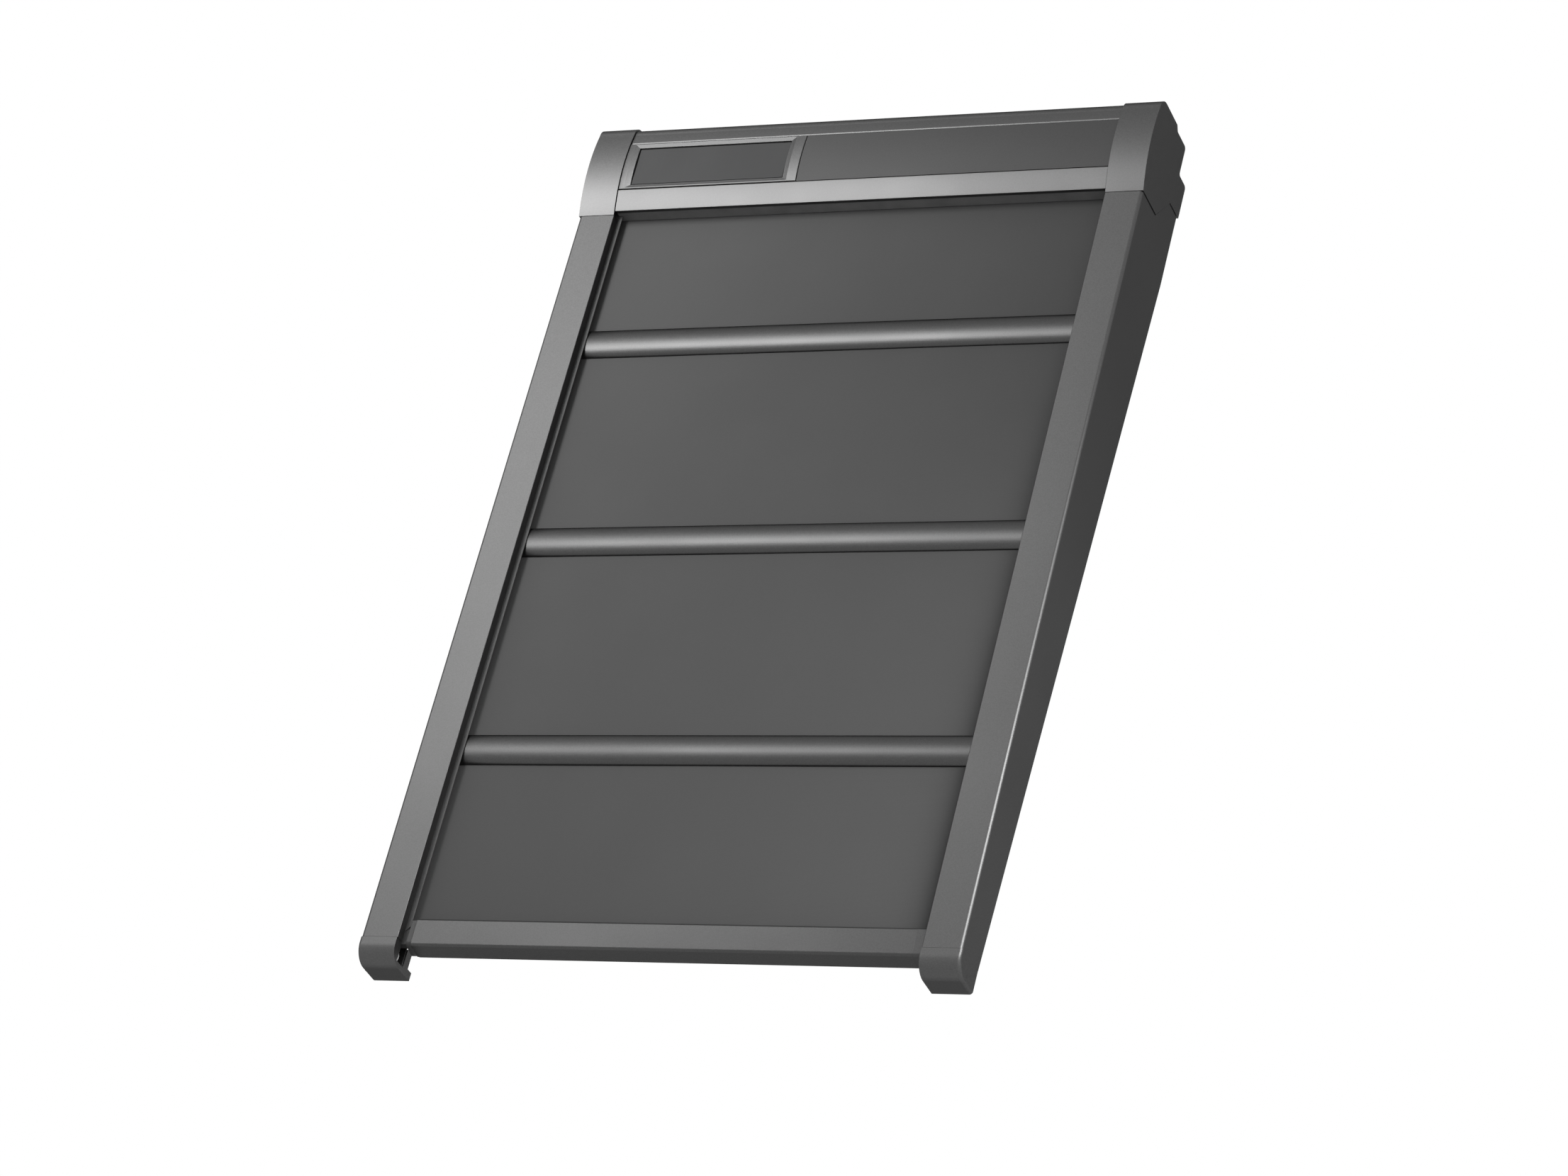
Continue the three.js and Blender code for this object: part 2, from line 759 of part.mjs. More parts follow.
// Cord reel: a drum with two flanges, sprung inside, that keeps the cord tight.
function cordReel() {
  const half = reelWidth / 2;
  const drum = reelRadius - cordRadius - 0.3;
  const profile = [
    [-half, reelBore],
    [-half, reelRim],
    [-half + 2, reelRim],
    [-half + 3, drum],
    [half - 3, drum],
    [half - 2, reelRim],
    [half, reelRim],
    [half, reelBore],
    [-half, reelBore],
  ];
  return onRoller(turned(profile)).translate([cordReturn, 0, 0]);
}
addPair("cord_reel", cordReel(), plastic);

// A path that runs straight from point to point, one point a step.
class Route extends THREE.Curve {
  constructor(points) {
    super();
    this.points = points;
  }

  getUtoTmapping(u) {
    return u;
  }

  getPoint(t) {
    const place = t * (this.points.length - 1);
    const i = Math.min(Math.floor(place), this.points.length - 2);
    return this.points[i].clone().lerp(this.points[i + 1], place - i);
  }

  getTangent(t) {
    const i = Math.round(t * (this.points.length - 1));
    const here = this.points[i];
    const sum = new THREE.Vector3();
    if (i > 0) sum.add(here.clone().sub(this.points[i - 1]).normalize());
    if (i < this.points.length - 1) sum.add(this.points[i + 1].clone().sub(here).normalize());
    return sum.normalize();
  }
}

// A round cord or lead through the given points.
function cordAlong(points, radius) {
  const ring = arc(0, 0, radius, radius, 0, 360, 8).slice(0, -1);
  const shape = new THREE.Shape(ring.map(([u, v]) => new THREE.Vector2(u, v)));
  const extrudePath = new Route(points);
  return solidOf(new THREE.ExtrudeGeometry(shape, { steps: points.length - 1, extrudePath }));
}

// A route of [x, y, z] corners, each rounded with a few steps.
function rounded(corners, radius) {
  const places = corners.map((corner) => new THREE.Vector3(...corner));
  const route = [places[0]];
  places.slice(1, -1).forEach((corner, i) => {
    const before = places[i].clone().sub(corner).setLength(radius);
    const after = places[i + 2].clone().sub(corner).setLength(radius);
    const start = corner.clone().add(before);
    const end = corner.clone().add(after);
    const bend = new THREE.QuadraticBezierCurve3(start, corner, end);
    route.push(...bend.getPoints(4));
  });
  return [...route, places[places.length - 1]];
}

// Return run of the cord: round under the pulley, then up the rail to the reel.
const cordFront = pulleyCentre - pulleyRadius; // x of the run that pulls the shoe
const reelFront = rollerDepth - reelRadius;
function returnCord() {
  const bend = arc(pulleyCentre, pulleyHeight, pulleyRadius, pulleyRadius, -180, 0, 12);
  const points = bend.map(([x, z]) => new THREE.Vector3(x, pulleyDepth, z));
  points.push(new THREE.Vector3(cordReturn, reelFront, rollerHeight));
  return cordAlong(points, cordRadius);
}
addPair("return_cord", returnCord(), cloth);

// Pull run of the cord: from the pulley's inner side up to the shoe. It grows as the curtain rises.
function pullCord() {
  const low = new THREE.Vector3(cordFront, pulleyDepth, pulleyHeight + jointGap);
  const high = new THREE.Vector3(cordFront, pulleyDepth, shoeFoot - jointGap);
  return cordAlong([low, high], cordRadius);
}
addPair("pull_cord", pullCord(), cloth);

// Stiffening bars: hollow bowed profiles with a plug at each end that runs in the guide channels.
function barOutline(inset) {
  const half = barHeight / 2 - inset;
  return arc(barBack - inset, 0, -(barBulge - 2 * inset), half, -90, 90, 14);
}
function stiffeningBar(height) {
  const solid = alongX(barOutline(0), -barHalf, barHalf);
  const hollow = alongX(barOutline(barWall), -barHalf - 1, barHalf + 1);
  return cut(solid, hollow).translate([0, 0, height]);
}
function barPlug(height) {
  const head = block(
    barHalf + jointGap,
    plugEnd,
    barFront,
    slideBack - slideClear,
    -barHeight / 2 + 2,
    barHeight / 2 - 2,
  );
  const fabricCut = block(
    barHalf - plugLength * 2,
    plugEnd + 1,
    fabricFront - jointGap,
    slideBack + 1,
    -barHeight,
    barHeight,
  );
  const stem = alongX(barOutline(barWall + jointGap), barHalf - plugLength * 2, barHalf + jointGap + 1);
  return cut(join(head, stem), fabricCut).translate([0, 0, height]);
}
const barNames = ["lower", "middle", "upper"];
const barHeights = barNames.map((_, i) => lowestBar + barPitch * i);
barHeights.forEach((height, i) => {
  addPiece(middle, "bar_" + barNames[i], stiffeningBar(height), paint);
  addPiece(rightSide, "bar_plug_" + barNames[i] + "_right", barPlug(height), plastic);
  addPiece(leftSide, "bar_plug_" + barNames[i] + "_left", barPlug(height), plastic);
});

// Curtain: four fields of coated fabric, joined behind the bars and held in the bottom bar.
function fabricField(low, high) {
  return block(-fabricHalf, fabricHalf, fabricFront, fabricBack, low + jointGap, high - jointGap);
}
const fieldEdges = [bottomTop - fabricGroove, ...barHeights];
barNames.forEach((name, i) => {
  addPiece(middle, "fabric_" + name, fabricField(fieldEdges[i], fieldEdges[i + 1]), cloth);
});

// The top field runs up behind the bars and slants back to the roll.
function topField() {
  const low = barHeights[barNames.length - 1] + jointGap;
  const turn = headFloor + 12;
  const tangent = rollerDepth - tubeRadius - rollThickness - 2 * jointGap - fabricThickness;
  const lead = 10;
  return alongX(
    [
      [fabricFront, low],
      [fabricBack, low],
      [fabricBack, turn],
      [tangent + fabricThickness, rollerHeight - lead],
      [tangent + fabricThickness, rollerHeight],
      [tangent, rollerHeight],
      [tangent, rollerHeight - lead],
      [fabricFront, turn],
    ],
    -fabricHalf,
    fabricHalf,
  );
}
addPiece(middle, "fabric_top", topField(), cloth);

// Bottom bar: a hollow profile with a flat face, a slanted underside and a groove for the fabric.
function bottomProfile() {
  const back = bottomFace + bottomDepth;
  const grooveFoot = bottomTop - fabricGroove;
  const neck = fabricFront - jointGap - bottomWall;
  const outside = [
    [bottomFace, bottomTop],
    [bottomFace, bottomEdge + 1],
    [bottomFace + 1, bottomEdge],
    [back - 1.5, bottomUnder],
    [back, bottomUnder + 1.5],
    [back, grooveFoot - 8],
    [fabricBack + jointGap + bottomWall, grooveFoot - 2],
    [fabricBack + jointGap + bottomWall, bottomTop],
  ];
  const inside = [
    [bottomFace + bottomWall, bottomTop - bottomWall],
    [bottomFace + bottomWall, bottomEdge + bottomWall],
    [back - bottomWall, bottomUnder + 2 * bottomWall],
    [back - bottomWall, grooveFoot - 9 - bottomWall],
    [fabricBack, grooveFoot - 4 - bottomWall],
    [neck, grooveFoot - 4],
    [neck, bottomTop - bottomWall],
  ];
  const groove = block(
    -bottomHalf - 1,
    bottomHalf + 1,
    fabricFront - jointGap,
    fabricBack + jointGap,
    grooveFoot,
    bottomTop + 1,
  );
  const solid = alongX(outside.slice().reverse(), -bottomHalf, bottomHalf);
  const hollow = alongX(inside.slice().reverse(), -bottomHalf - 1, bottomHalf + 1);
  return cut(solid, hollow, groove);
}
addPiece(middle, "bottom_bar", bottomProfile(), paint);

// Shoe: closes the bottom bar's end and runs in the guide channel on a tongue.
function bottomShoe() {
  const back = bottomFace + bottomDepth;
  const start = bottomHalf + jointGap;
  const nose = bottomFace + shoeSetback;
  const body = alongX(
    [
      [nose, bottomTop],
      [nose, bottomEdge + 4],
      ...arc(nose + 6, bottomEdge + 2, 6, bottomEdge + 2 - bottomUnder - 1, 180, 270, 4),
      [back - 2, bottomUnder + 1],
      [back - 2, shoeFoot + 10],
      [fabricBack + 1, bottomTop - 10],
      [fabricBack + 1, bottomTop],
    ].reverse(),
    start,
    guideEdge - slideClear,
  );
  const tongue = block(start, plugEnd, barFront, slideBack - slideClear, shoeFoot, bottomTop);
  const stem = block(
    start - shoeStem,
    start + 1,
    bottomFace + bottomWall + slideClear,
    fabricFront - bottomWall - 2 * jointGap - slideClear,
    bottomEdge + bottomWall + 2,
    bottomTop - bottomWall - slideClear,
  );
  const groove = block(
    start - 1,
    plugEnd + 1,
    fabricFront - jointGap,
    fabricBack + jointGap,
    bottomTop - fabricGroove,
    bottomTop + 1,
  );
  return cut(join(body, tongue, stem), groove);
}
addPair("bottom_shoe", bottomShoe(), plastic);

// Seal: a rubber strip along the back of the bottom bar that closes on the window below.
function bottomSeal() {
  const front = bottomFace + bottomDepth + jointGap;
  const foot = bottomUnder + 2;
  return alongX(
    [
      [front, foot + 2],
      [front + 3, foot],
      [front + 4, foot + 1],
      [front + 2, foot + 8],
      [front, foot + 8],
    ],
    -bottomHalf,
    bottomHalf,
  );
}
addPiece(middle, "bottom_seal", bottomSeal(), rubber);

// Battery pack and control unit: held under the lower top at the back of the hood.
const hoodUnderside = headShelf - capInset - hoodWall - jointGap;
const boxBack = headUpperDepth - capInset - hoodWall - backCorner - jointGap;
function headBox(centre, [length, depth, height]) {
  return block(
    centre - length / 2,
    centre + length / 2,
    boxBack - depth,
    boxBack,
    hoodUnderside - height,
    hoodUnderside,
  );
}
addPiece(middle, "battery_pack", headBox(batteryCentre, batterySize), plastic);
addPiece(middle, "control_unit", headBox(controlCentre, controlSize), darkPaint);

// Leads: from the solar glass over the curtain's room to the control unit, and from there to the motor.
function solarLead() {
  const x = controlCentre - controlSize[0] / 4;
  const high = headTop - capInset - hoodWall - jointGap - leadRadius;
  const inner = frontAt(coverTop, stripRadius) + 4 * hoodWall + leadRadius;
  const route = [
    [glassRight - 6, glassFace + glassThickness + jointGap, (glassFoot + glassTop) / 2],
    [glassRight - 6, inner + 2, (glassFoot + glassTop) / 2],
    [x, inner + 2, high - 20],
    [x, inner + 12, high],
    [x, headRidgeDepth - 8, high],
    [x, boxBack - controlSize[1] - 6, hoodUnderside - controlSize[2] / 2],
    [x, boxBack - controlSize[1] - jointGap, hoodUnderside - controlSize[2] / 2],
  ];
  return cordAlong(rounded(route, 2.5), leadRadius);
}
addPiece(middle, "solar_lead", solarLead(), plastic);

function motorLead() {
  const y = boxBack - batterySize[1] / 2;
  const z = hoodUnderside - batterySize[2] / 2;
  const x = -plateFace + 3;
  const route = [
    [x, rollerDepth, rollerHeight + motorHeadRadius + jointGap],
    [x, rollerDepth, z],
    [x + 20, y, z],
    [batteryCentre - batterySize[0] / 2 - jointGap, y, z],
  ];
  return cordAlong(rounded(route, 8), leadRadius);
}
addPiece(middle, "motor_lead", motorLead(), plastic);

root.position.y = -(headDepth - headBulge) / 2;

export default root;
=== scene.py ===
# Looks of the roof window roller shutter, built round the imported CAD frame.
# Outlines are in millimetres with y counted from the rails' front faces; meshes are in metres.
import math

import bmesh
import bpy
from mathutils import Matrix, Vector


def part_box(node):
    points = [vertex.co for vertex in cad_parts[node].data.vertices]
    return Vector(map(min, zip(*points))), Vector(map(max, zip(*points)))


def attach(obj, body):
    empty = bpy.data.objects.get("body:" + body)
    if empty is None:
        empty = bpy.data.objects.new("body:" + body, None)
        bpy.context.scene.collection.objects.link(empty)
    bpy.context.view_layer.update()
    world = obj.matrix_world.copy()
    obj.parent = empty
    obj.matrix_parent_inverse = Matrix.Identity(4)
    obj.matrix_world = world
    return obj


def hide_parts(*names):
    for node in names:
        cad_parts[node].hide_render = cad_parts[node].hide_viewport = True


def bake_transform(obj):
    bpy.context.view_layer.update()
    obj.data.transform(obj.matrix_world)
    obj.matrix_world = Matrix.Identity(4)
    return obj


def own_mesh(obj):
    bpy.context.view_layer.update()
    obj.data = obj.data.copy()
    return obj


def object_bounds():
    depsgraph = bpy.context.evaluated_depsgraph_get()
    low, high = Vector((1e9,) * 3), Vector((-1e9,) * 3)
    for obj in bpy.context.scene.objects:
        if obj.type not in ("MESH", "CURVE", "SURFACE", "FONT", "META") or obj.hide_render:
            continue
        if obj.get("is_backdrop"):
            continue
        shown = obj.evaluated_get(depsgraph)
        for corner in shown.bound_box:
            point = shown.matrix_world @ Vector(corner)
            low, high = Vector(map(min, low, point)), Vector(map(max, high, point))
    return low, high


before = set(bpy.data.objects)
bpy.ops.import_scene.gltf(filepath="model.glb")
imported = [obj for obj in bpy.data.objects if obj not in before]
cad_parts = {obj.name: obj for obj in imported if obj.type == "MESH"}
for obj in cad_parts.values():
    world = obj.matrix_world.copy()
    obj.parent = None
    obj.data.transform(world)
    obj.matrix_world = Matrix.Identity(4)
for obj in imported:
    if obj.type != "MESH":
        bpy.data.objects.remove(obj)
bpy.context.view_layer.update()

MM = 0.001
BARS = ("lower", "middle", "upper")
GAP = 0.3  # clearance between pieces
SEAM = 0.5  # joint that shows between pieces


def extent(node):
    """A CAD node's lowest and highest corner in millimetres, y from the rails' front faces."""
    low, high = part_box(node)
    shift = Vector((0, FRONT, 0))
    return (low - shift) / MM, (high - shift) / MM


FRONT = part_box("side_rail_right")[0].y

# Side rails
RAIL_LOW, RAIL_HIGH = extent("side_rail_right")
RAIL_OUTER = RAIL_HIGH.x
RAIL_WIDTH = 51
RAIL_INNER = RAIL_OUTER - RAIL_WIDTH
RAIL_FOOT = RAIL_LOW.z
RAIL_WALL = 1.6
RAIL_CORNER = 4
TAB_FRONT = RAIL_WALL + GAP
TAB_WALL = 1.4
TAB_DROP = 7
SIDE_TAB = RAIL_OUTER - RAIL_WALL - (GAP + TAB_WALL)
RAIL_INNER_EDGE = 0.9
FLANK_DEPTH = 12.1
HEAD_JOINT = 1128.7
RAIL_TOP = HEAD_JOINT - SEAM
SKIRT_FOOT_DEPTH = 53.3
SKIRT_HEAD_DEPTH = 113.5
TAPER_TOP = HEAD_JOINT - 64.7
FLANGE_WIDTH = 39

# Guide channels
LIP = 6
GUIDE_WALL = 1.3
GUIDE_ROOM = 12
GUIDE_REACH = 11.7
GUIDE_RIBS = (3.2, 7.6)
GUIDE_RIB_WALL = 1.2
LIP_FOOT = 48
GUIDE_FRONT = FLANK_DEPTH + GAP
GUIDE_INSIDE = GUIDE_FRONT + GUIDE_WALL
GUIDE_BACK = GUIDE_INSIDE + GUIDE_ROOM + GUIDE_WALL
GUIDE_EDGE = RAIL_INNER - LIP
GUIDE_DEEP = RAIL_INNER + GUIDE_REACH
WEB_INNER = GUIDE_DEEP + GUIDE_WALL + GAP
FLANGE_FRONT = GUIDE_BACK + GAP
FLANGE_BACK = FLANGE_FRONT + RAIL_WALL
PIN_SEAT = FLANGE_BACK + GAP

# Foot caps
FOOT_TOP = 31.7
FOOT_PROUD = 0.8
FOOT_ROUND = 24
FOOT_RISE = 23
FOOT_WALL = 2
HEEL_TOP = 11
FOOT_WALL_DEPTH = 43
PULLEY_HEIGHT = 15.5
WINDOW_FOOT = 6.5
PULLEY_DEPTH = 19.5
PULLEY_RADIUS = 10
PULLEY_CENTRE = RAIL_OUTER - 36
SCREW_ACROSS = RAIL_OUTER - 33
SCREW_HEIGHT = 41
TAB_WIDTH = 14
SHIELD_REACH = 20
SHIELD_RISE = 6
HOLE_RADIUS = 2.1

# Head
HEAD_TOP = extent("head_cap_right")[1].z
HEAD_BULGE = 13
HEAD_ARC = 250
HEAD_ARC_HEIGHT = HEAD_JOINT + 78.3
HEAD_ARC_DEPTH = HEAD_ARC - HEAD_BULGE
HEAD_EDGE = 17
HEAD_DEPTH = 117
BACK_CORNER = 5
RIDGE_STEP = 6
UPPER_DEPTH = 91
RIDGE_DEPTH = 52
SHELF = HEAD_TOP - 7
LEDGE = HEAD_TOP - 51
HEM = LEDGE + 12
CAP_OUTER = extent("head_cap_right")[1].x
CAP_WALL = 2.5
CAP_INSET = 2.5
CAP_INNER = RAIL_INNER + GAP
NOTCH_START = 51
NOTCH_RISE = 43
NOTCH_RUN = 33
HOOD_WALL = 1.8
LIP_RISE = 2.6
LIP_DEPTH = 1.6
HOOD_HALF = CAP_INNER - 2 * GAP
STRIP_FOOT = HEAD_JOINT + 5.5
STRIP_TOP = HEAD_JOINT + 34.9
STRIP_RADIUS = HEAD_ARC - 1.5
TRIM_GAP = 1.6
COVER_TOP = HEAD_TOP - 35
COVER_RADIUS = STRIP_RADIUS - 1
COVER_WALL = 2
STRIP_RETURN = 4.5
SLOT_BACK = 33
SLOT_LIP_PLAY = 0.35
SLOT_LIP_WALL = 2.2
HEAD_FLOOR = HEAD_JOINT + 2.3
DRAIN_HALF = 14
DRAIN_FRONT = 84
DRAIN_BACK = 88
DRAIN_PITCH = 120

# Solar panel
GLASS_LOW, GLASS_HIGH = extent("solar_glass")
SOLAR_RIGHT = extent("solar_frame")[1].x
CREST_LEFT = 8
CREST_RIGHT = 14
CREST_FOOT = 1.8
CREST_TOP = 1.3
GLASS_RECESS = 1.4

# Curtain
BAR_HALF_HEIGHT = 21.6
BAR_BULGE = 9
BAR_WALL = 1.3
BAR_HEIGHTS = [313, 623, 933]
BAR_PLAY = 0.5
BAR_BACK = GUIDE_INSIDE + BAR_PLAY + BAR_BULGE
BAR_HALF = extent("bar_lower")[1].x
FABRIC_FRONT = BAR_BACK + GAP
FABRIC_THICK = 0.8
FABRIC_BACK = FABRIC_FRONT + FABRIC_THICK
FABRIC_HALF = extent("fabric_lower")[1].x
RIPPLE = 0.22
BAND_HALF_HEIGHT = 21.8
BAND_HALF = 336
BAND_FRONT = 0.23
BAND_BACK = 0.43
TOP_LOW = BAR_HEIGHTS[-1] + GAP
TOP_END = HEAD_FLOOR + 4
TURN = HEAD_FLOOR + 12
TANGENT = extent("fabric_top")[1].y - FABRIC_THICK
# What is left of each field's height when the curtain is open, and where the top field gathers.
PARKED = (29.6, 44.5, 44.5)

# Bottom bar
BOTTOM_FACE = 9
BOTTOM_BACK = BOTTOM_FACE + 25
BOTTOM_TOP = 62.4
BOTTOM_EDGE = 26.4
BOTTOM_UNDER = 22.5
BOTTOM_WALL = 1.6
SHOE_SEAM = 0.05
TOP_SEAL = 0.5
REBATE = 1.4
REBATE_DEPTH = 2.4
GROOVE = 6
BOTTOM_HALF = extent("bottom_bar")[1].x
SHOE_PLAY = 0.5
SHOE_STEM = 25
TONGUE_BACK = 24.9

# Roller
ROLLER_HEIGHT = 1188
ROLLER_DEPTH = 65
TUBE_RADIUS = 25

# Cords
CORD_RADIUS = 1
CORD_IN = PULLEY_CENTRE - PULLEY_RADIUS
CORD_OUT = PULLEY_CENTRE + PULLEY_RADIUS
REEL_FRONT = ROLLER_DEPTH - 39


# Meshes

MERGE = 1e-6  # metres
BEVEL_ANGLE = math.radians(32)


def at(x, y, z):
    return Vector((x * MM, y * MM + FRONT, z * MM))


def arc(centre_u, centre_v, radius_u, radius_v, start, end, steps):
    """Points on an arc, from one angle to another, in degrees."""
    points = []
    for i in range(steps + 1):
        angle = math.radians(start + (end - start) * i / steps)
        u = centre_u + radius_u * math.cos(angle)
        points.append((u, centre_v + radius_v * math.sin(angle)))
    return points


def filleted(corners, steps=4):
    """An outline of (u, v) or (u, v, radius) corners, those with a radius rounded."""
    outline = []
    count = len(corners)
    for i, corner in enumerate(corners):
        here = Vector(corner[:2])
        if len(corner) < 3:
            outline.append(tuple(here))
            continue
        before = Vector(corners[i - 1][:2]) - here
        after = Vector(corners[(i + 1) % count][:2]) - here
        opening = before.angle(after)
        run = corner[2] / math.tan(opening / 2)
        start = here + before.normalized() * run
        end = here + after.normalized() * run
        centre = here + (before.normalized() + after.normalized()).normalized() * (
            corner[2] / math.sin(opening / 2)
        )
        a, b = start - centre, end - centre
        turn = a.angle_signed(b)
        for k in range(steps + 1):
            share = turn * k / steps
            spun = Matrix.Rotation(-share, 2) @ a
            outline.append(tuple(centre + spun))
    return outline


def rounded(u0, u1, v0, v1, radius, steps=4):
    corners = [(u0, v0, radius), (u1, v0, radius), (u1, v1, radius), (u0, v1, radius)]
    return filleted(corners, steps)


def new_piece(name, points, faces):
    mesh = bpy.data.meshes.new(name)
    mesh.from_pydata([at(*p) for p in points], [], faces)
    made = bmesh.new()
    made.from_mesh(mesh)
    bmesh.ops.remove_doubles(made, verts=made.verts, dist=MERGE)
    bmesh.ops.recalc_face_normals(made, faces=made.faces)
    made.to_mesh(mesh)
    made.free()
    piece = bpy.data.objects.new(name, mesh)
    bpy.context.scene.collection.objects.link(piece)
    return piece


PLACES = {
    "x": lambda along, u, v: (along, u, v),
    "y": lambda along, u, v: (u, along, v),
    "z": lambda along, u, v: (u, v, along),
}


def sweep(name, outline, axis, stations):
    """A closed body: an outline pulled straight along an axis through its stations."""
    place = PLACES[axis]
    count = len(outline)
    points = [place(s, u, v) for s in stations for u, v in outline]
    faces = []
    for ring in range(len(stations) - 1):
        for i in range(count):
            j = (i + 1) % count
            low = ring * count
            faces.append((low + i, low + j, low + count + j, low + count + i))
    faces.append(tuple(range(count))[::-1])
    faces.append(tuple(range(len(points) - count, len(points))))
    return new_piece(name, points, faces)


def across(name, outline, half):
    """A closed body that runs straight across the shutter."""
    return sweep(name, outline, "x", (-half, half))


def box(name, x0, x1, y0, y1, z0, z1):
    return sweep(name, [(x0, y0), (x1, y0), (x1, y1), (x0, y1)], "z", (z0, z1))


def rings(name, loops, closed=False):
    """A body through loops that have as many points each; closed joins the last to the first."""
    count = len(loops[0])
    points = [p for loop in loops for p in loop]
    faces = []
    last = len(loops) if closed else len(loops) - 1
    for k in range(last):
        low, high = k * count, (k + 1) % len(loops) * count
        for i in range(count):
            j = (i + 1) % count
            faces.append((low + i, low + j, high + j, high + i))
    if not closed:
        faces.append(tuple(range(count))[::-1])
        faces.append(tuple(range(len(points) - count, len(points))))
    return new_piece(name, points, faces)


def turned(name, profile, centre, steps=48):
    """A profile of (y, radius) points turned about a line through a centre (x, z)."""
    loops = []
    for k in range(steps):
        angle = math.tau * k / steps
        loop = []
        for y, radius in profile:
            x = centre[0] + radius * math.cos(angle)
            loop.append((x, y, centre[1] + radius * math.sin(angle)))
        loops.append(loop)
    return rings(name, loops, closed=True)


def disc(name, centre, radius, front, back):
    outline = arc(centre[0], centre[1], radius, radius, 0, 360, 24)[:-1]
    return sweep(name, outline, "y", (front, back))


def settle(piece):
    """Makes the piece's modifiers part of its mesh."""
    evaluated = piece.evaluated_get(bpy.context.evaluated_depsgraph_get())
    mesh = bpy.data.meshes.new_from_object(evaluated)
    piece.modifiers.clear()
    old = piece.data
    piece.data = mesh
    bpy.data.meshes.remove(old)
    mesh.name = piece.name


def combine(piece, operation, *tools):
    for tool in tools:
        step = piece.modifiers.new("combine", "BOOLEAN")
        step.operation = operation
        step.object = tool
        step.solver = "EXACT"
    settle(piece)
    for tool in tools:
        bpy.data.objects.remove(tool)
    made = bmesh.new()
    made.from_mesh(piece.data)
    bmesh.ops.remove_doubles(made, verts=made.verts, dist=MERGE)
    bmesh.ops.dissolve_limit(
        made, angle_limit=math.radians(0.5), verts=made.verts, edges=made.edges
    )
    made.to_mesh(piece.data)
    made.free()
    return piece


def join(piece, *tools):
    return combine(piece, "UNION", *tools)


def cut(piece, *tools):
    return combine(piece, "DIFFERENCE", *tools)


def smooth(piece, angle):
    """Smooth shading; edges that turn by more than the angle stay sharp."""
    piece.data.shade_smooth()
    piece.data.set_sharp_from_angle(angle=math.radians(angle))
    return piece


def add_bevel(piece, width, segments=2):
    bevel = piece.modifiers.new("bevel", "BEVEL")
    bevel.width = width * MM
    bevel.segments = segments
    bevel.limit_method = "ANGLE"
    bevel.angle_limit = BEVEL_ANGLE
    return bevel


def weigh_normals(piece):
    """Shades broad faces flat and leaves the turn to the roundings beside them."""
    piece.modifiers.new("normals", "WEIGHTED_NORMAL").keep_sharp = True


def soften(piece, width, segments=2):
    """Rounds the sharp edges and smooths the rest."""
    add_bevel(piece, width, segments).miter_outer = "MITER_ARC"
    settle(piece)
    smooth(piece, 48)
    weigh_normals(piece)
    settle(piece)
    return piece


def mirrored(piece, name):
    mesh = piece.data.copy()
    mesh.transform(Matrix.Scale(-1, 4, Vector((1, 0, 0))))
    mesh.flip_normals()
    copy = bpy.data.objects.new(name, mesh)
    bpy.context.scene.collection.objects.link(copy)
    return copy


def paint(piece, look):
    piece.data.materials.clear()
    piece.data.materials.append(looks[look])


def wear(piece, look, body, *nodes):
    """Gives a finished piece its material and body, and hides the nodes that it stands for."""
    paint(piece, look)
    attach(piece, body)
    if nodes:
        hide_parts(*nodes)
    return piece


def wear_pair(piece, base, look, body, width, segments=2):
    """Finishes a right piece and its mirrored copy; a body that ends in _ takes the side too."""
    pair = {"right": piece, "left": mirrored(piece, base + "_left")}
    piece.name = base + "_right"
    for side, one in pair.items():
        soften(one, width, segments)
        home = body + side if body.endswith("_") else body
        wear(one, look, home, base + "_" + side)


# Materials

BANDS_PER_METRE = 3.18  # of a wave texture at scale 1


def node(tree, kind, place=(0, 0), **values):
    made = tree.nodes.new(kind)
    made.location = place
    for key, value in values.items():
        setattr(made, key, value)
    return made


def dial(made, **sockets):
    """Sets a node's sockets, which are named in lower case with underscores."""
    for key, value in sockets.items():
        name = key.replace("_", " ").title().replace("Ior", "IOR")
        made.inputs[name].default_value = value


def plain_material(name, **sockets):
    material = bpy.data.materials.new(name)
    material.use_nodes = True
    shader = material.node_tree.nodes["Principled BSDF"]
    dial(shader, **sockets)
    return material, material.node_tree, shader


def object_coords(tree):
    return node(tree, "ShaderNodeTexCoord", (-1300, 0)).outputs["Object"]


def noise(tree, scale, detail, roughness=0.5, stretch=None):
    """Noise that lies fixed on the object; stretch scales it per axis."""
    vector = object_coords(tree)
    if stretch:
        mapping = node(tree, "ShaderNodeMapping", (-1100, 0))
        dial(mapping, scale=stretch)
        tree.links.new(vector, mapping.inputs["Vector"])
        vector = mapping.outputs["Vector"]
    made = node(tree, "ShaderNodeTexNoise", (-900, 0))
    dial(made, scale=scale, detail=detail, roughness=roughness)
    tree.links.new(vector, made.inputs["Vector"])
    return made.outputs["Fac"]


def spread(tree, value, low, high, start=0.35, end=0.65):
    """Maps a value from start..end to low..high."""
    made = node(tree, "ShaderNodeMapRange", (-600, 0))
    dial(made, from_min=start, from_max=end, to_min=low, to_max=high)
    tree.links.new(value, made.inputs["Value"])
    return made.outputs["Result"]


def tint(tree, shader, value, dark, light):
    """Base colour between two greys by a 0..1 value."""
    mix = node(tree, "ShaderNodeMix", (-300, 200), data_type="RGBA")
    dial(mix, a=(*dark, 1), b=(*light, 1))
    tree.links.new(value, mix.inputs["Factor"])
    tree.links.new(mix.outputs["Result"], shader.inputs["Base Color"])


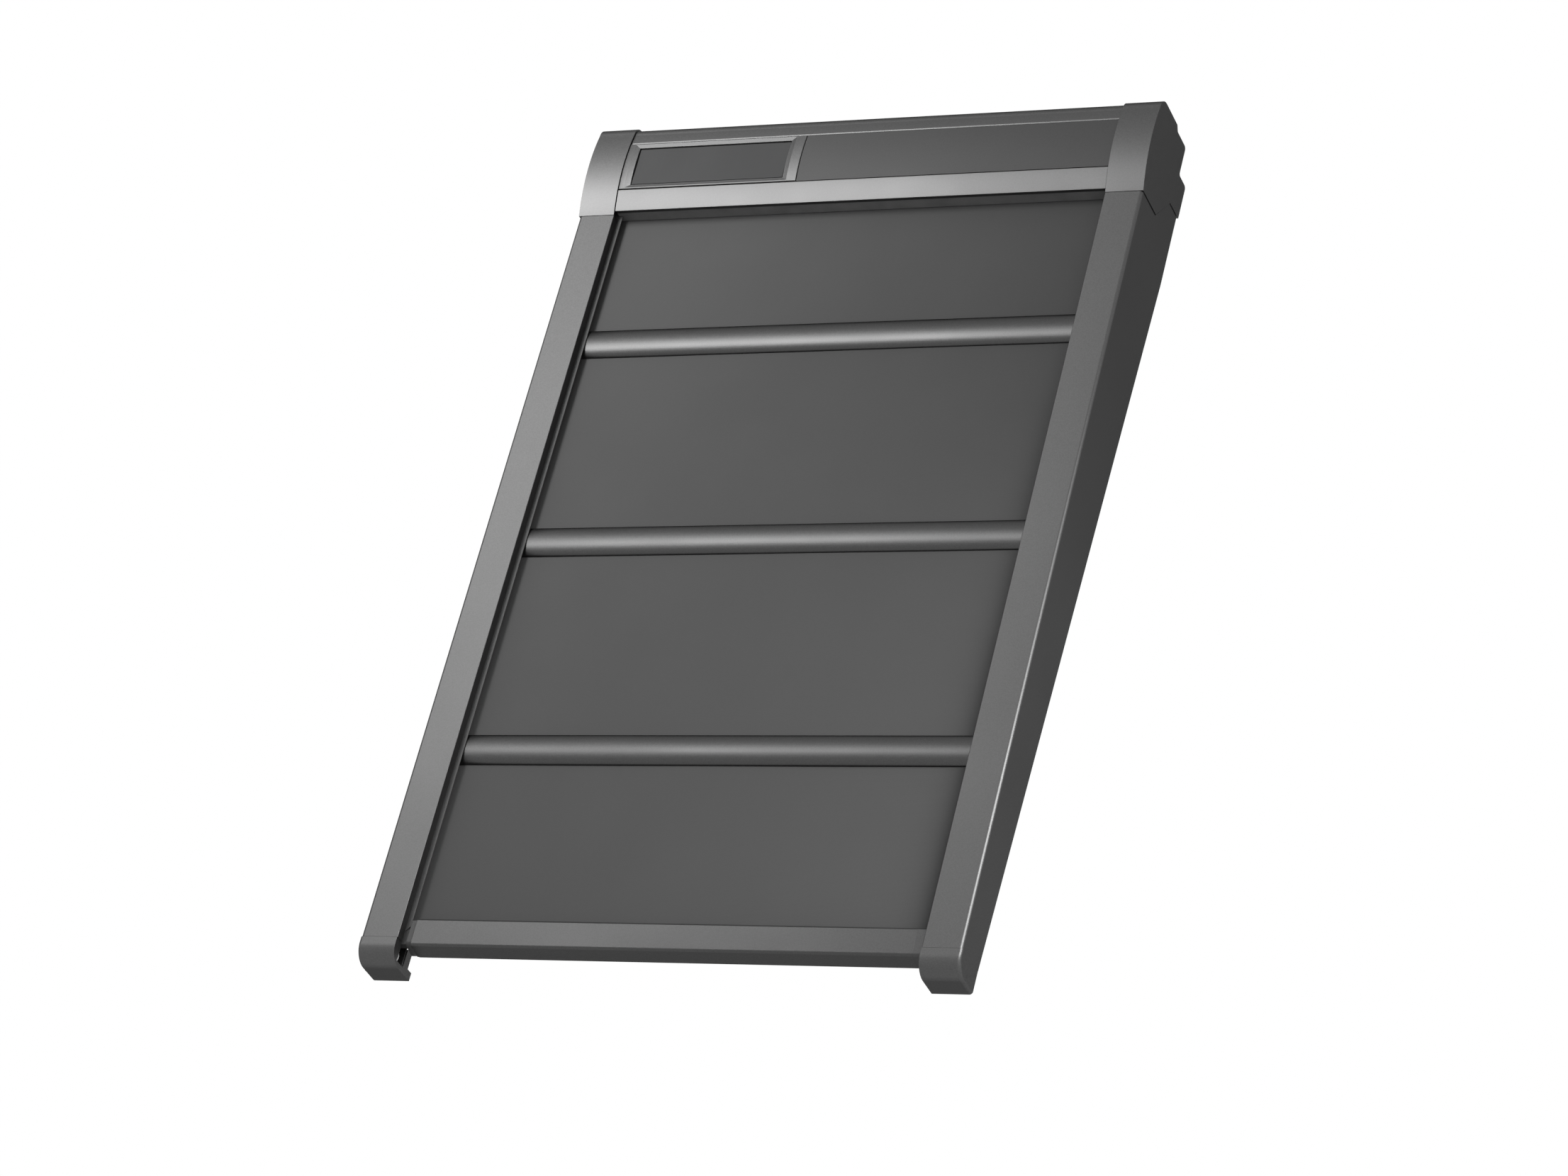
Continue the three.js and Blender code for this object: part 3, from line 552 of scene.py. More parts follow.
def vary_gloss(tree, shader, value, low, high):
    tree.links.new(spread(tree, value, low, high), shader.inputs["Roughness"])


def raise_bumps(tree, shader, height, distance):
    bump = node(tree, "ShaderNodeBump", (-300, -300))
    dial(bump, distance=distance)
    tree.links.new(height, bump.inputs["Height"])
    tree.links.new(bump.outputs["Normal"], shader.inputs["Normal"])


def combine_values(tree, operation, a, b):
    made = node(tree, "ShaderNodeMath", (-450, -100), operation=operation)
    for socket, value in zip(made.inputs, (a, b)):
        if isinstance(value, float):
            socket.default_value = value
        else:
            tree.links.new(value, socket)
    return made.outputs[0]


def grey(level, warmth=0.0):
    """A linear grey from a 0..255 screen level, a little cooler for a negative warmth."""
    share = level / 255
    linear = ((share + 0.055) / 1.055) ** 2.4 if share > 0.04 else share / 12.92
    return (linear * (1 + warmth), linear, linear * (1 - warmth))


def lacquer(name, level, roughness, metallic, flake=0.12):
    """Metallic lacquer: fine flakes, slow changes of gloss and a faint orange peel."""
    material, tree, shader = plain_material(
        name, metallic=metallic, specular_ior_level=0.2, specular_tint=(*grey(130), 1)
    )
    flakes = noise(tree, scale=620, detail=3, roughness=0.6)
    clouds = noise(tree, scale=5, detail=3)
    mottle = spread(tree, flakes, 0.0, 1.0, start=0.3, end=0.7)
    low = tuple(c * (1 - flake) for c in grey(level))
    high = tuple(c * (1 + flake) for c in grey(level))
    tint(tree, shader, mottle, low, high)
    slow = spread(tree, clouds, roughness - 0.02, roughness + 0.02)
    fine = spread(tree, flakes, -0.03, 0.03, start=0.3, end=0.7)
    tree.links.new(combine_values(tree, "ADD", slow, fine), shader.inputs["Roughness"])
    raise_bumps(tree, shader, noise(tree, scale=260, detail=2), 0.000008)
    return material


def moulded(name, level, roughness, grain=0.00003, scale=900):
    """Moulded plastic or rubber with a fine leathery grain."""
    material, tree, shader = plain_material(name, specular_ior_level=0.35)
    fine = noise(tree, scale=scale, detail=3, roughness=0.6)
    clouds = spread(tree, noise(tree, scale=30, detail=3), 0.0, 1.0)
    tint(tree, shader, clouds, grey(level * 0.95), grey(level * 1.05))
    vary_gloss(tree, shader, fine, roughness - 0.05, roughness + 0.05)
    raise_bumps(tree, shader, fine, grain)
    return material


def stripes(tree, direction, pitch, distortion):
    """A wave texture whose bands lie a pitch apart, in metres."""
    wave = node(tree, "ShaderNodeTexWave", (-900, -400), wave_type="BANDS")
    wave.bands_direction = direction
    dial(wave, scale=1 / pitch / BANDS_PER_METRE, distortion=distortion)
    tree.links.new(object_coords(tree), wave.inputs["Vector"])
    return wave


def woven(name, level, pitch, depth):
    """Coated cloth: threads across and along, with slightly uneven colour."""
    material, tree, shader = plain_material(
        name, specular_ior_level=0.25, sheen_weight=0.04, sheen_roughness=0.6
    )
    waves = []
    for direction in ("X", "Z"):
        wave = stripes(tree, direction, pitch, 0.25)
        dial(wave, detail=1, detail_scale=0.4)
        waves.append(wave.outputs["Fac"])
    weave = combine_values(tree, "MULTIPLY", waves[0], waves[1])
    slubs = noise(tree, scale=420, detail=2, stretch=(0.5, 1, 1.6))
    clouds = noise(tree, scale=9, detail=3)
    threads = combine_values(tree, "MULTIPLY", spread(tree, clouds, 0.35, 0.6), weave)
    shade = combine_values(tree, "ADD", spread(tree, slubs, 0.25, 0.4), threads)
    tint(tree, shader, shade, grey(level * 0.95), grey(level * 1.06))
    vary_gloss(tree, shader, clouds, 0.81, 0.89)
    raise_bumps(tree, shader, weave, depth)
    return material


def braided(name, level, pitch):
    """Braided cord: diagonal strands."""
    material, tree, shader = plain_material(name, roughness=0.8, specular_ior_level=0.25)
    strands = stripes(tree, "DIAGONAL", pitch, 1.2).outputs["Fac"]
    tint(tree, shader, strands, grey(level * 0.8), grey(level * 1.15))
    raise_bumps(tree, shader, strands, 0.0001)
    return material


def galvanised(name, level, roughness):
    """Zinc plated steel with a faint spangle and rolling lines."""
    material, tree, shader = plain_material(name, metallic=0.85, specular_ior_level=0.4)
    cells = node(tree, "ShaderNodeTexVoronoi", (-900, -400))
    dial(cells, scale=140)
    tree.links.new(object_coords(tree), cells.inputs["Vector"])
    tint(tree, shader, cells.outputs["Distance"], grey(level * 0.9), grey(level * 1.08))
    lines = noise(tree, scale=90, detail=3, roughness=0.6, stretch=(12, 1, 1))
    vary_gloss(tree, shader, lines, roughness - 0.06, roughness + 0.08)
    raise_bumps(tree, shader, lines, 0.00001)
    return material


def cell_glass(name, level, columns, left, right):
    """Textured solar glass over dark cells, whose joints hardly show."""
    material, tree, shader = plain_material(name, roughness=0.42, specular_ior_level=0.22)
    apart = node(tree, "ShaderNodeSeparateXYZ", (-1100, 0))
    tree.links.new(object_coords(tree), apart.inputs[0])
    pitch = (right - left) * MM / columns
    shifted = combine_values(tree, "SUBTRACT", apart.outputs["X"], left * MM)
    place = combine_values(tree, "MODULO", shifted, pitch)
    joint = combine_values(tree, "LESS_THAN", place, 0.0012)
    faint = combine_values(tree, "MULTIPLY", joint, 0.35)
    clouds = spread(tree, noise(tree, scale=14, detail=2), 0.0, 0.5)
    shade = combine_values(tree, "ADD", clouds, faint)
    tint(tree, shader, shade, grey(level * 0.98, -0.01), grey(level * 1.06, -0.01))
    raise_bumps(tree, shader, noise(tree, scale=500, detail=2), 0.000006)
    return material


looks = {
    "lacquered_metal": lacquer("lacquered_metal", 87, 0.44, 0.94),
    "bar_lacquer": lacquer("bar_lacquer", 75, 0.37, 0.94),
    "dark_lacquer": lacquer("dark_lacquer", 78, 0.6, 0.5, flake=0.08),
    "curtain_fabric": woven("curtain_fabric", 76, 0.0011, 0.00008),
    "black_plastic": moulded("black_plastic", 66, 0.5),
    "grey_plastic": moulded("grey_plastic", 70, 0.45),
    "lip_rubber": moulded("lip_rubber", 112, 0.75),
    # painted shade: near black, standing for the shadow line along the bottom bar's top edge
    "painted_shade_lip": moulded("painted_shade_lip", 40, 0.8),
    "shoe_lacquer": lacquer("shoe_lacquer", 75, 0.39, 0.9),
    "pale_plastic": moulded("pale_plastic", 190, 0.4),
    "seal_rubber": moulded("seal_rubber", 58, 0.7, 0.00005, 1200),
    "plated_steel": galvanised("plated_steel", 170, 0.35),
    "panel_glass": cell_glass("panel_glass", 53, 6, GLASS_LOW.x, GLASS_HIGH.x),
    "cord_braid": braided("cord_braid", 70, 0.0016),
    "lead_sheath": moulded("lead_sheath", 46, 0.45),
}


# Rails and foot caps


def skirt_depth(height):
    return min(
        SKIRT_FOOT_DEPTH + (SKIRT_HEAD_DEPTH - SKIRT_FOOT_DEPTH) * height / TAPER_TOP,
        SKIRT_HEAD_DEPTH,
    )


def screw_hole(front, back):
    return disc("hole", (SCREW_ACROSS, SCREW_HEIGHT), HOLE_RADIUS, front - 1, back + 1)


def rail_solid():
    shoulder = RAIL_CORNER + RAIL_WALL
    inner = RAIL_OUTER - RAIL_WALL
    edge = RAIL_INNER_EDGE
    outline = [
        (RAIL_INNER, RAIL_WALL),
        *arc(RAIL_INNER + edge, edge, edge, edge, 180, 270, 4),
        *arc(RAIL_OUTER - RAIL_CORNER, RAIL_CORNER, RAIL_CORNER, RAIL_CORNER, 270, 360, 8),
        (RAIL_OUTER, shoulder),
        (inner, shoulder),
        *arc(inner - RAIL_CORNER, shoulder, RAIL_CORNER, RAIL_CORNER, 360, 270, 5)[1:],
    ]
    face = sweep("side_rail", outline, "z", (RAIL_FOOT, RAIL_TOP))
    skirt = sweep(
        "skirt",
        [
            (RAIL_CORNER, RAIL_FOOT),
            (skirt_depth(RAIL_FOOT), RAIL_FOOT),
            (SKIRT_HEAD_DEPTH, TAPER_TOP),
            (SKIRT_HEAD_DEPTH, RAIL_TOP + NOTCH_RISE),
            (NOTCH_START + NOTCH_RUN + SEAM, RAIL_TOP + NOTCH_RISE),
            (NOTCH_START + SEAM, RAIL_TOP - SEAM),
            (RAIL_CORNER, RAIL_TOP - SEAM),
        ],
        "x",
        (inner, RAIL_OUTER),
    )
    start = GUIDE_EDGE + GUIDE_WALL
    walls = [
        box(name, low, low + width, front, back, RAIL_FOOT, RAIL_TOP)
        for name, low, width, front, back in (
            ("flank", RAIL_INNER, RAIL_WALL, RAIL_WALL / 2, FLANK_DEPTH),
            ("web", WEB_INNER, RAIL_WALL, RAIL_WALL / 2, FLANGE_BACK),
            ("flange", start, FLANGE_WIDTH, FLANGE_FRONT, FLANGE_BACK),
        )
    ]
    return cut(join(face, skirt, *walls), screw_hole(FLANGE_FRONT, FLANGE_BACK))


wear_pair(rail_solid(), "side_rail", "lacquered_metal", "frame", 0.35)


def guide_channel():
    low = RAIL_FOOT + GAP
    outer = GUIDE_DEEP + GUIDE_WALL
    top = extent("guide_channel_right")[1].z
    lip = sweep(
        "guide_channel",
        [
            (GUIDE_EDGE, LIP_FOOT + LIP),
            (RAIL_INNER, LIP_FOOT),
            (outer, LIP_FOOT),
            (outer, top),
            (GUIDE_EDGE, top),
        ],
        "y",
        (GUIDE_FRONT, GUIDE_INSIDE),
    )
    side = box("side", GUIDE_DEEP, outer, GUIDE_FRONT, GUIDE_BACK, low, top)
    back = box("back", GUIDE_EDGE, outer, GUIDE_BACK - GUIDE_WALL, GUIDE_BACK, low, HEAD_FLOOR)
    ribs = [
        box("rib", GUIDE_DEEP - 0.8, GUIDE_DEEP + 0.2, y, y + GUIDE_RIB_WALL, low, top)
        for y in (GUIDE_INSIDE + depth for depth in GUIDE_RIBS)
    ]
    return join(lip, side, back, *ribs)


wear_pair(guide_channel(), "guide_channel", "grey_plastic", "frame", 0.3)


def foot_outline(inset):
    front = inset - FOOT_PROUD
    depth = skirt_depth(0)
    return [
        (depth, inset),
        (depth, FOOT_TOP),
        (front, FOOT_TOP),
        *arc(front + FOOT_ROUND, inset + FOOT_RISE, FOOT_ROUND, FOOT_RISE, 180, 270, 20),
    ]


def foot_cap():
    outer = RAIL_OUTER + FOOT_PROUD
    depth = skirt_depth(0)
    back = PIN_SEAT + FOOT_WALL
    rounding = arc(outer - RAIL_CORNER, RAIL_CORNER, RAIL_CORNER, RAIL_CORNER, 270, 360, 8)
    shell = rings(
        "foot_cap",
        [[(x, y, z) for y, z in foot_outline(inset)] for x, inset in [(RAIL_INNER, 0), *rounding]],
    )
    # The cap is open above and behind, and its room runs out there.
    past = FOOT_TOP
    inside = [
        (y + past if y == depth else y, z + past if z == FOOT_TOP else z)
        for y, z in foot_outline(FOOT_WALL)
    ]
    room = sweep("room", inside, "x", (RAIL_INNER + FOOT_WALL, outer - FOOT_WALL))
    wall_end = RAIL_INNER + FOOT_WALL + GAP
    heel = box("heel", 0, wall_end, FOOT_WALL_DEPTH, depth + past, HEEL_TOP, FOOT_TOP + 1)
    window = box("window", 0, wall_end, GUIDE_INSIDE - 1, back, WINDOW_FOOT, FOOT_TOP + 1)
    cut(shell, room, heel, window)
    rib = box("rib", wall_end - 1, outer - 1, PIN_SEAT, back, 1, FOOT_TOP - 1)
    shield = box(
        "shield", wall_end - 1, WEB_INNER + SHIELD_REACH, PIN_SEAT, back - 0.2,
        FOOT_TOP - 3, FOOT_TOP + SHIELD_RISE,
    )
    half = TAB_WIDTH / 2
    low, high = SCREW_ACROSS - half, SCREW_ACROSS + half
    outline = filleted([
        (low, FOOT_TOP - 2),
        (high, FOOT_TOP - 2),
        (high, SCREW_HEIGHT + half, 3),
        (low, SCREW_HEIGHT + half, 3),
    ])
    tab = sweep("tab", outline, "y", (PIN_SEAT, back))
    side, root = (
        box(name, SIDE_TAB, end, RAIL_CORNER + RAIL_WALL, depth - 4, FOOT_TOP - 8, top)
        for name, end, top in (
            ("side", SIDE_TAB + TAB_WALL, FOOT_TOP + TAB_DROP),
            ("root", outer - 1, FOOT_TOP - 1),
        )
    )
    join(shell, rib, shield, tab, side, root)
    return cut(shell, screw_hole(PIN_SEAT, back))


wear_pair(foot_cap(), "foot_cap", "lacquered_metal", "frame", 0.35)


def pulley():
    half, rim, hub, bore = 3, PULLEY_RADIUS + 1, 4.5, 2.1
    profile = [
        (-half, bore), (-half, hub), (-half + 0.8, hub + 0.6), (-half + 0.8, rim - 3.4),
        (-half, rim - 2.8), (-half, rim - 0.3), (-half + 0.3, rim), (-half + 1, rim),
        (-1, PULLEY_RADIUS - 1.3), (1, PULLEY_RADIUS - 1.3),
        (half - 1, rim), (half - 0.3, rim), (half, rim - 0.3), (half, rim - 2.8),
        (half - 0.8, rim - 3.4), (half - 0.8, hub + 0.6), (half, hub), (half, bore),
    ]
    moved = [(PULLEY_DEPTH + along, radius) for along, radius in profile]
    return turned("cord_pulley", moved, (PULLEY_CENTRE, PULLEY_HEIGHT))


wear_pair(pulley(), "cord_pulley", "pale_plastic", "cord_pulley_", 0.15)


# Head


def front_at(height, radius):
    """Where the head's rounded front lies at a height."""
    return HEAD_ARC_DEPTH - math.sqrt(radius**2 - (height - HEAD_ARC_HEIGHT) ** 2)


def front_arc(radius, low, high, steps):
    heights = [low + (high - low) * i / steps for i in range(steps + 1)]
    return [(front_at(z, radius), z) for z in heights]


def head_upper(inset, foot):
    """The head's outline up the front from a height and over the top."""
    radius = HEAD_ARC - inset
    top = HEAD_TOP - inset
    edge_foot = HEAD_TOP - HEAD_EDGE
    edge = HEAD_EDGE - inset
    upper = UPPER_DEPTH - inset
    shelf = SHELF - inset
    over = arc(front_at(edge_foot, radius) + edge, edge_foot, edge, top - edge_foot, 180, 90, 12)
    return [
        *front_arc(radius, foot, edge_foot, 24),
        *over[1:],
        (RIDGE_DEPTH - inset, top, 3),
        (RIDGE_DEPTH + RIDGE_STEP - inset, shelf, 3),
        (upper, shelf, BACK_CORNER),
    ]


def head_lower(inset):
    """And down its back over the ledge."""
    return [
        (UPPER_DEPTH - inset, LEDGE - inset, 4),
        (HEAD_DEPTH - inset, LEDGE - inset, BACK_CORNER),
    ]


def head_cap():
    notch_top = HEAD_JOINT + NOTCH_RISE
    outside = filleted([
        *head_upper(0, HEAD_JOINT),
        *head_lower(0),
        (HEAD_DEPTH, notch_top),
        (NOTCH_START + NOTCH_RUN, notch_top),
        (NOTCH_START, HEAD_JOINT),
    ], 5)
    below = HEAD_JOINT - FOOT_TOP
    inside = filleted([
        *head_upper(CAP_WALL, HEAD_JOINT),
        *head_lower(CAP_WALL),
        (HEAD_DEPTH - CAP_WALL, below),
        (front_at(HEAD_JOINT, HEAD_ARC - CAP_WALL), below),
    ], 5)
    shell = sweep("head_cap", outside, "x", (CAP_INNER, CAP_OUTER))
    room = sweep("room", inside, "x", (CAP_INNER - 1, CAP_OUTER - CAP_WALL))
    cut(shell, room)
    # Tabs that reach down behind the rail's face and close the joint.
    foot = HEAD_JOINT - TAB_DROP
    tabs = [
        box("tab", x0, x1, TAB_FRONT, TAB_FRONT + TAB_WALL, foot, HEAD_JOINT + 1.2)
        for x0, x1 in (
            (RAIL_INNER + 2.2, WEB_INNER - GAP),
            (WEB_INNER + RAIL_WALL + GAP, SIDE_TAB + 1),
        )
    ]
    top = HEAD_JOINT + 3
    side = box("tab", SIDE_TAB, SIDE_TAB + TAB_WALL, TAB_FRONT, FLANGE_BACK, foot, top)
    root = box("root", SIDE_TAB, CAP_OUTER - 2, TAB_FRONT + 4, FLANGE_BACK, HEAD_JOINT + 0.8, top)
    return join(shell, *tabs, side, root)


wear_pair(head_cap(), "head_cap", "lacquered_metal", "frame", 1.1, 3)


def hood():
    foot = COVER_TOP + SEAM

    def skin(inset, rise=0.0):
        return filleted([
            *head_upper(inset, foot + rise),
            (UPPER_DEPTH - inset, HEM),
        ], 5)

    rise = foot + LIP_RISE
    lip_centre = front_at(rise, HEAD_ARC - CAP_INSET) + LIP_DEPTH
    lip = arc(lip_centre, rise, LIP_DEPTH, LIP_RISE, 270, 180, 8)
    outside = [*lip[:-1], *skin(CAP_INSET, LIP_RISE)]
    inside = skin(CAP_INSET + HOOD_WALL)
    return across("hood", [*inside, *outside[::-1]], HOOD_HALF)


wear(soften(hood(), 0.3), "lacquered_metal", "frame", "head_hood")


def head_base():
    def skin(inset):
        back = HEAD_DEPTH - CAP_INSET - inset
        return filleted([
            (UPPER_DEPTH - CAP_INSET - inset, HEM - GAP),
            *head_lower(CAP_INSET + inset),
            (back, HEAD_JOINT + NOTCH_RISE, 6),
            (back - 8, HEAD_FLOOR + inset, 4),
            (SLOT_BACK, HEAD_FLOOR + inset),
        ], 5)

    piece = across("base", [*skin(HOOD_WALL), *skin(0)[::-1]], HOOD_HALF)
    drains = [
        sweep(
            "drain",
            rounded(x - DRAIN_HALF, x + DRAIN_HALF, DRAIN_FRONT, DRAIN_BACK, 2),
            "z",
            (HEAD_FLOOR - 2, HEAD_FLOOR + 6),
        )
        for x in range(-300, 301, DRAIN_PITCH)
    ]
    return cut(piece, *drains)


wear(soften(head_base(), 0.4), "dark_lacquer", "frame", "head_base")


def front_strip():
    inside = STRIP_RADIUS - HOOD_WALL
    outline = [
        *front_arc(STRIP_RADIUS, STRIP_FOOT, STRIP_TOP, 10),
        *front_arc(inside, STRIP_FOOT + HOOD_WALL, STRIP_TOP, 10)[::-1],
        (STRIP_RETURN, STRIP_FOOT + HOOD_WALL),
        (STRIP_RETURN, STRIP_FOOT),
    ]
    return across("strip", outline, HOOD_HALF)


wear(soften(front_strip(), 0.35), "lacquered_metal", "frame", "front_strip")


def slot_lip():
    """The soft lip between the strip and the curtain; here it stays rigid on the frame."""
    start = STRIP_RETURN + GAP
    end = FABRIC_FRONT - SLOT_LIP_PLAY
    inner = end - SLOT_LIP_WALL
    foot = STRIP_FOOT + 1
    outline = filleted([
        (start, foot + 0.6, 0.5), (end, foot, 0.5), (end, foot + 5, 0.8),
        (inner, foot + 5, 0.8), (inner, foot + 2.6, 0.8), (start, foot + 3, 0.5),
    ])
    return across("slot_lip", outline, HOOD_HALF)


lip = wear(soften(slot_lip(), 0.2), "lip_rubber", "frame")
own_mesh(lip)


def front_cover():
    low = STRIP_TOP + TRIM_GAP
    outside = front_arc(COVER_RADIUS, low, COVER_TOP, 20)
    inside = front_arc(COVER_RADIUS - COVER_WALL, low, COVER_TOP, 20)
    return sweep("cover", [*inside, *outside[::-1]], "x", (SOLAR_RIGHT + SEAM, HOOD_HALF))


wear(soften(front_cover(), 0.3), "dark_lacquer", "frame", "front_cover")


def solar_frame():
    """A picture frame whose inner slopes meet in mitres round the glass."""
    glass_plane = GLASS_LOW.y
    outer = (-HOOD_HALF, SOLAR_RIGHT, STRIP_TOP + TRIM_GAP, COVER_TOP)

    def grown(bounds, left, *rest):
        """Bounds moved out by left, right, foot and top, or by left all round."""
        right, foot, top = rest or (left, left, left)
        return (bounds[0] - left, bounds[1] + right, bounds[2] - foot, bounds[3] + top)

    def loop(bounds, depth):
        x0, x1, z0, z1 = bounds
        steps = 16
        rises = [z0 + (z1 - z0) * i / steps for i in range(steps + 1)]
        ring = [(x1, z) for z in rises] + [(x0, z) for z in rises[::-1]]
        return [(x, depth(z), z) for x, z in ring]

    def front(sink):
        return lambda z: front_at(z, STRIP_RADIUS) + sink

    def plane(y):
        return lambda z: y

    crest = grown(outer, -CREST_LEFT, -CREST_RIGHT, -CREST_FOOT, -CREST_TOP)
    glass = grown((GLASS_LOW.x, GLASS_HIGH.x, GLASS_LOW.z, GLASS_HIGH.z), GAP)
    edge = 0.7
    rear = 2.4
    seat = glass_plane + 3.3
    back = glass_plane + 5
    loops = [
        loop(outer, front(rear)),
        loop(outer, front(edge)),
        loop(grown(outer, -edge * 0.3), front(edge * 0.3)),
        loop(grown(outer, -2.2, -edge, -edge, -edge * 0.8), front(0)),
        loop(crest, front(0.05)),
        loop(grown(crest, -0.6, -0.5, -0.4, -0.3), front(0.2)),
        loop(grown(glass, 0.35), lambda z: min(front(GLASS_RECESS)(z), glass_plane - 0.25)),
        loop(glass, plane(glass_plane + 0.1)),
        loop(glass, plane(seat)),
        loop(grown(glass, -3), plane(seat)),
        loop(grown(glass, -3), plane(back)),
        loop(grown(glass, 1.8), plane(back)),
        loop(grown(glass, 1.8), lambda z: max(front(rear)(z), glass_plane + 1.6)),
    ]
    return rings("solar", loops, closed=True)


wear(smooth(solar_frame(), 7), "lacquered_metal", "frame", "solar_frame")


def solar_glass():
    low, high = GLASS_LOW, GLASS_HIGH
    return box(
        "glass", low.x + SEAM, high.x - SEAM, low.y, high.y, low.z + SEAM, high.z - SEAM
    )


wear(soften(solar_glass(), 0.35), "panel_glass", "frame", "solar_glass")


# Curtain


def bar_outline(inset, steps):
    half = BAR_HALF_HEIGHT - inset
    return arc(BAR_BACK - inset, 0, -(BAR_BULGE - 2 * inset), half, -90, 90, steps)


def stiffening_bar(height):
    solid = across("bar", bar_outline(0, 40), BAR_HALF)
    piece = cut(solid, across("hollow", bar_outline(BAR_WALL, 20), BAR_HALF + 1))
    piece.data.transform(Matrix.Translation((0, 0, height * MM)))
    return piece


for label, height in zip(BARS, BAR_HEIGHTS):
    bar = soften(stiffening_bar(height), 0.3)
    bar.name = "stiffener_" + label
    wear(bar, "bar_lacquer", "bar_" + label, "bar_" + label)


def fabric_sheet(name, path, half):
    """A sheet along a path of (y, z) points, with the least bit of unevenness."""
    loops = []
    normals = []
    for i, (y, z) in enumerate(path):
        ahead = Vector(path[min(i + 1, len(path) - 1)])
        behind = Vector(path[max(i - 1, 0)])
        along = (ahead - behind).normalized()
        normals.append(Vector((along[1], -along[0])))
    columns = 48
    xs = [-half + 2 * half * k / columns for k in range(columns + 1)]

    def uneven(x, z):
        """Long soft waves that fade out towards the guides."""
        share = max(0.0, 1 - abs(x / half) ** 6)
        return RIPPLE * share * math.sin(x / 83 + z / 61) * math.cos(z / 47 - x / 140)

    for (y, z), normal in zip(path, normals):
        loop = []
        for row, thickness in ((xs, 0), (xs[::-1], FABRIC_THICK)):
            for x in row:
                off = thickness + uneven(x, z)
                loop.append((x, y + normal[0] * off, z + normal[1] * off))
        loops.append(loop)
    return rings(name, loops)


def straight(low, high, steps):
    return [(FABRIC_FRONT, low + (high - low) * i / steps) for i in range(steps + 1)]


def flat_piece(name, nodes, path, half, body):
    piece = smooth(fabric_sheet(name, path, half), 40)
    wear(piece, "curtain_fabric", body, *nodes)
    return piece


# Each field rides the bar above it.
for label, low, high, parked in zip(BARS, [BOTTOM_TOP - GROOVE, *BAR_HEIGHTS], BAR_HEIGHTS, PARKED):
    path = straight(low + GAP, high - GAP, 26)
    piece = flat_piece("curtain_" + label, ["fabric_" + label], path, FABRIC_HALF, "bar_" + label)
    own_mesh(piece)

# The top field hangs straight down from the head; above it the lead-in slants back to the roll.
path = straight(TOP_LOW, TOP_END, 20)
top = flat_piece("curtain_top", ["fabric_top"], path, FABRIC_HALF, "frame")
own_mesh(top)
lead_top = ROLLER_HEIGHT - 10
slant_depth = FABRIC_FRONT + 1.9
slant_foot = TURN + 4
slant = [
    (slant_depth + (TANGENT - 0.5 - slant_depth) * i / 6,
     slant_foot + (lead_top - 3 - slant_foot) * i / 6)
    for i in range(1, 7)
]
path = [
    (FABRIC_FRONT, TOP_END + 0.2),
    (FABRIC_FRONT, TURN - 4),
    (FABRIC_FRONT + 0.4, TURN),
    (slant_depth, slant_foot),
    *slant,
    (TANGENT, lead_top + 2),
    (TANGENT, ROLLER_HEIGHT),
]
lead = flat_piece("curtain_lead", [], path, FABRIC_HALF, "frame")
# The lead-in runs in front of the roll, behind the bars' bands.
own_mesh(lead)

# A welded band behind each bar holds it to the curtain.
for label, height in zip(BARS, BAR_HEIGHTS):
    outline = rounded(
        FABRIC_BACK + BAND_FRONT, FABRIC_BACK + BAND_BACK,
        height - BAND_HALF_HEIGHT, height + BAND_HALF_HEIGHT, 0.08, 3,
    )
    band = smooth(across("band_" + label, outline, BAND_HALF), 40)
    wear(band, "curtain_fabric", "bar_" + label)


def curtain_roll():
    """The last turns of fabric, wound as a spiral whose end leaves towards the front."""
    steps = 96
    bore = TUBE_RADIUS + GAP
    turns = 2.75
    loops = []
    for x in (-FABRIC_HALF, FABRIC_HALF):
        outer = []
        inner = []
        for i in range(steps):
            angle = math.radians(180) - math.tau * i / (steps - 1)
            radius = bore + FABRIC_THICK * (turns - i / (steps - 1))
            u = ROLLER_DEPTH + radius * math.cos(angle)
            outer.append((x, u, ROLLER_HEIGHT + radius * math.sin(angle)))
            u = ROLLER_DEPTH + bore * math.cos(angle)
            inner.append((x, u, ROLLER_HEIGHT + bore * math.sin(angle)))
        loops.append((outer, inner))
    points = [p for outer, inner in loops for p in outer + inner]
    faces = []
    size = 2 * steps
    for i in range(steps):
        j = (i + 1) % steps
        faces.append((i, j, size + j, size + i))
        faces.append((steps + i, steps + j, size + steps + j, size + steps + i))
        for side in (0, size):
            faces.append((side + i, side + j, side + steps + j, side + steps + i))
    return new_piece("curtain_wound", points, faces)


wear(smooth(curtain_roll(), 30), "curtain_fabric", "roller", "curtain_roll")


# Bottom bar


def rebate():
    """Room for the dark lip along the bottom bar's upper front edge."""
    return box("rebate", -RAIL_INNER, RAIL_INNER, BOTTOM_FACE - 1, BOTTOM_FACE + REBATE_DEPTH,
               BOTTOM_TOP - REBATE, BOTTOM_TOP + 1)


def fabric_groove(low, high):
    """Room for the fabric's lower edge in the top of the bar and its shoes."""
    return box("groove", low - 1, high + 1, FABRIC_FRONT - GAP, FABRIC_BACK + GAP,
               BOTTOM_TOP - GROOVE, BOTTOM_TOP + 1)


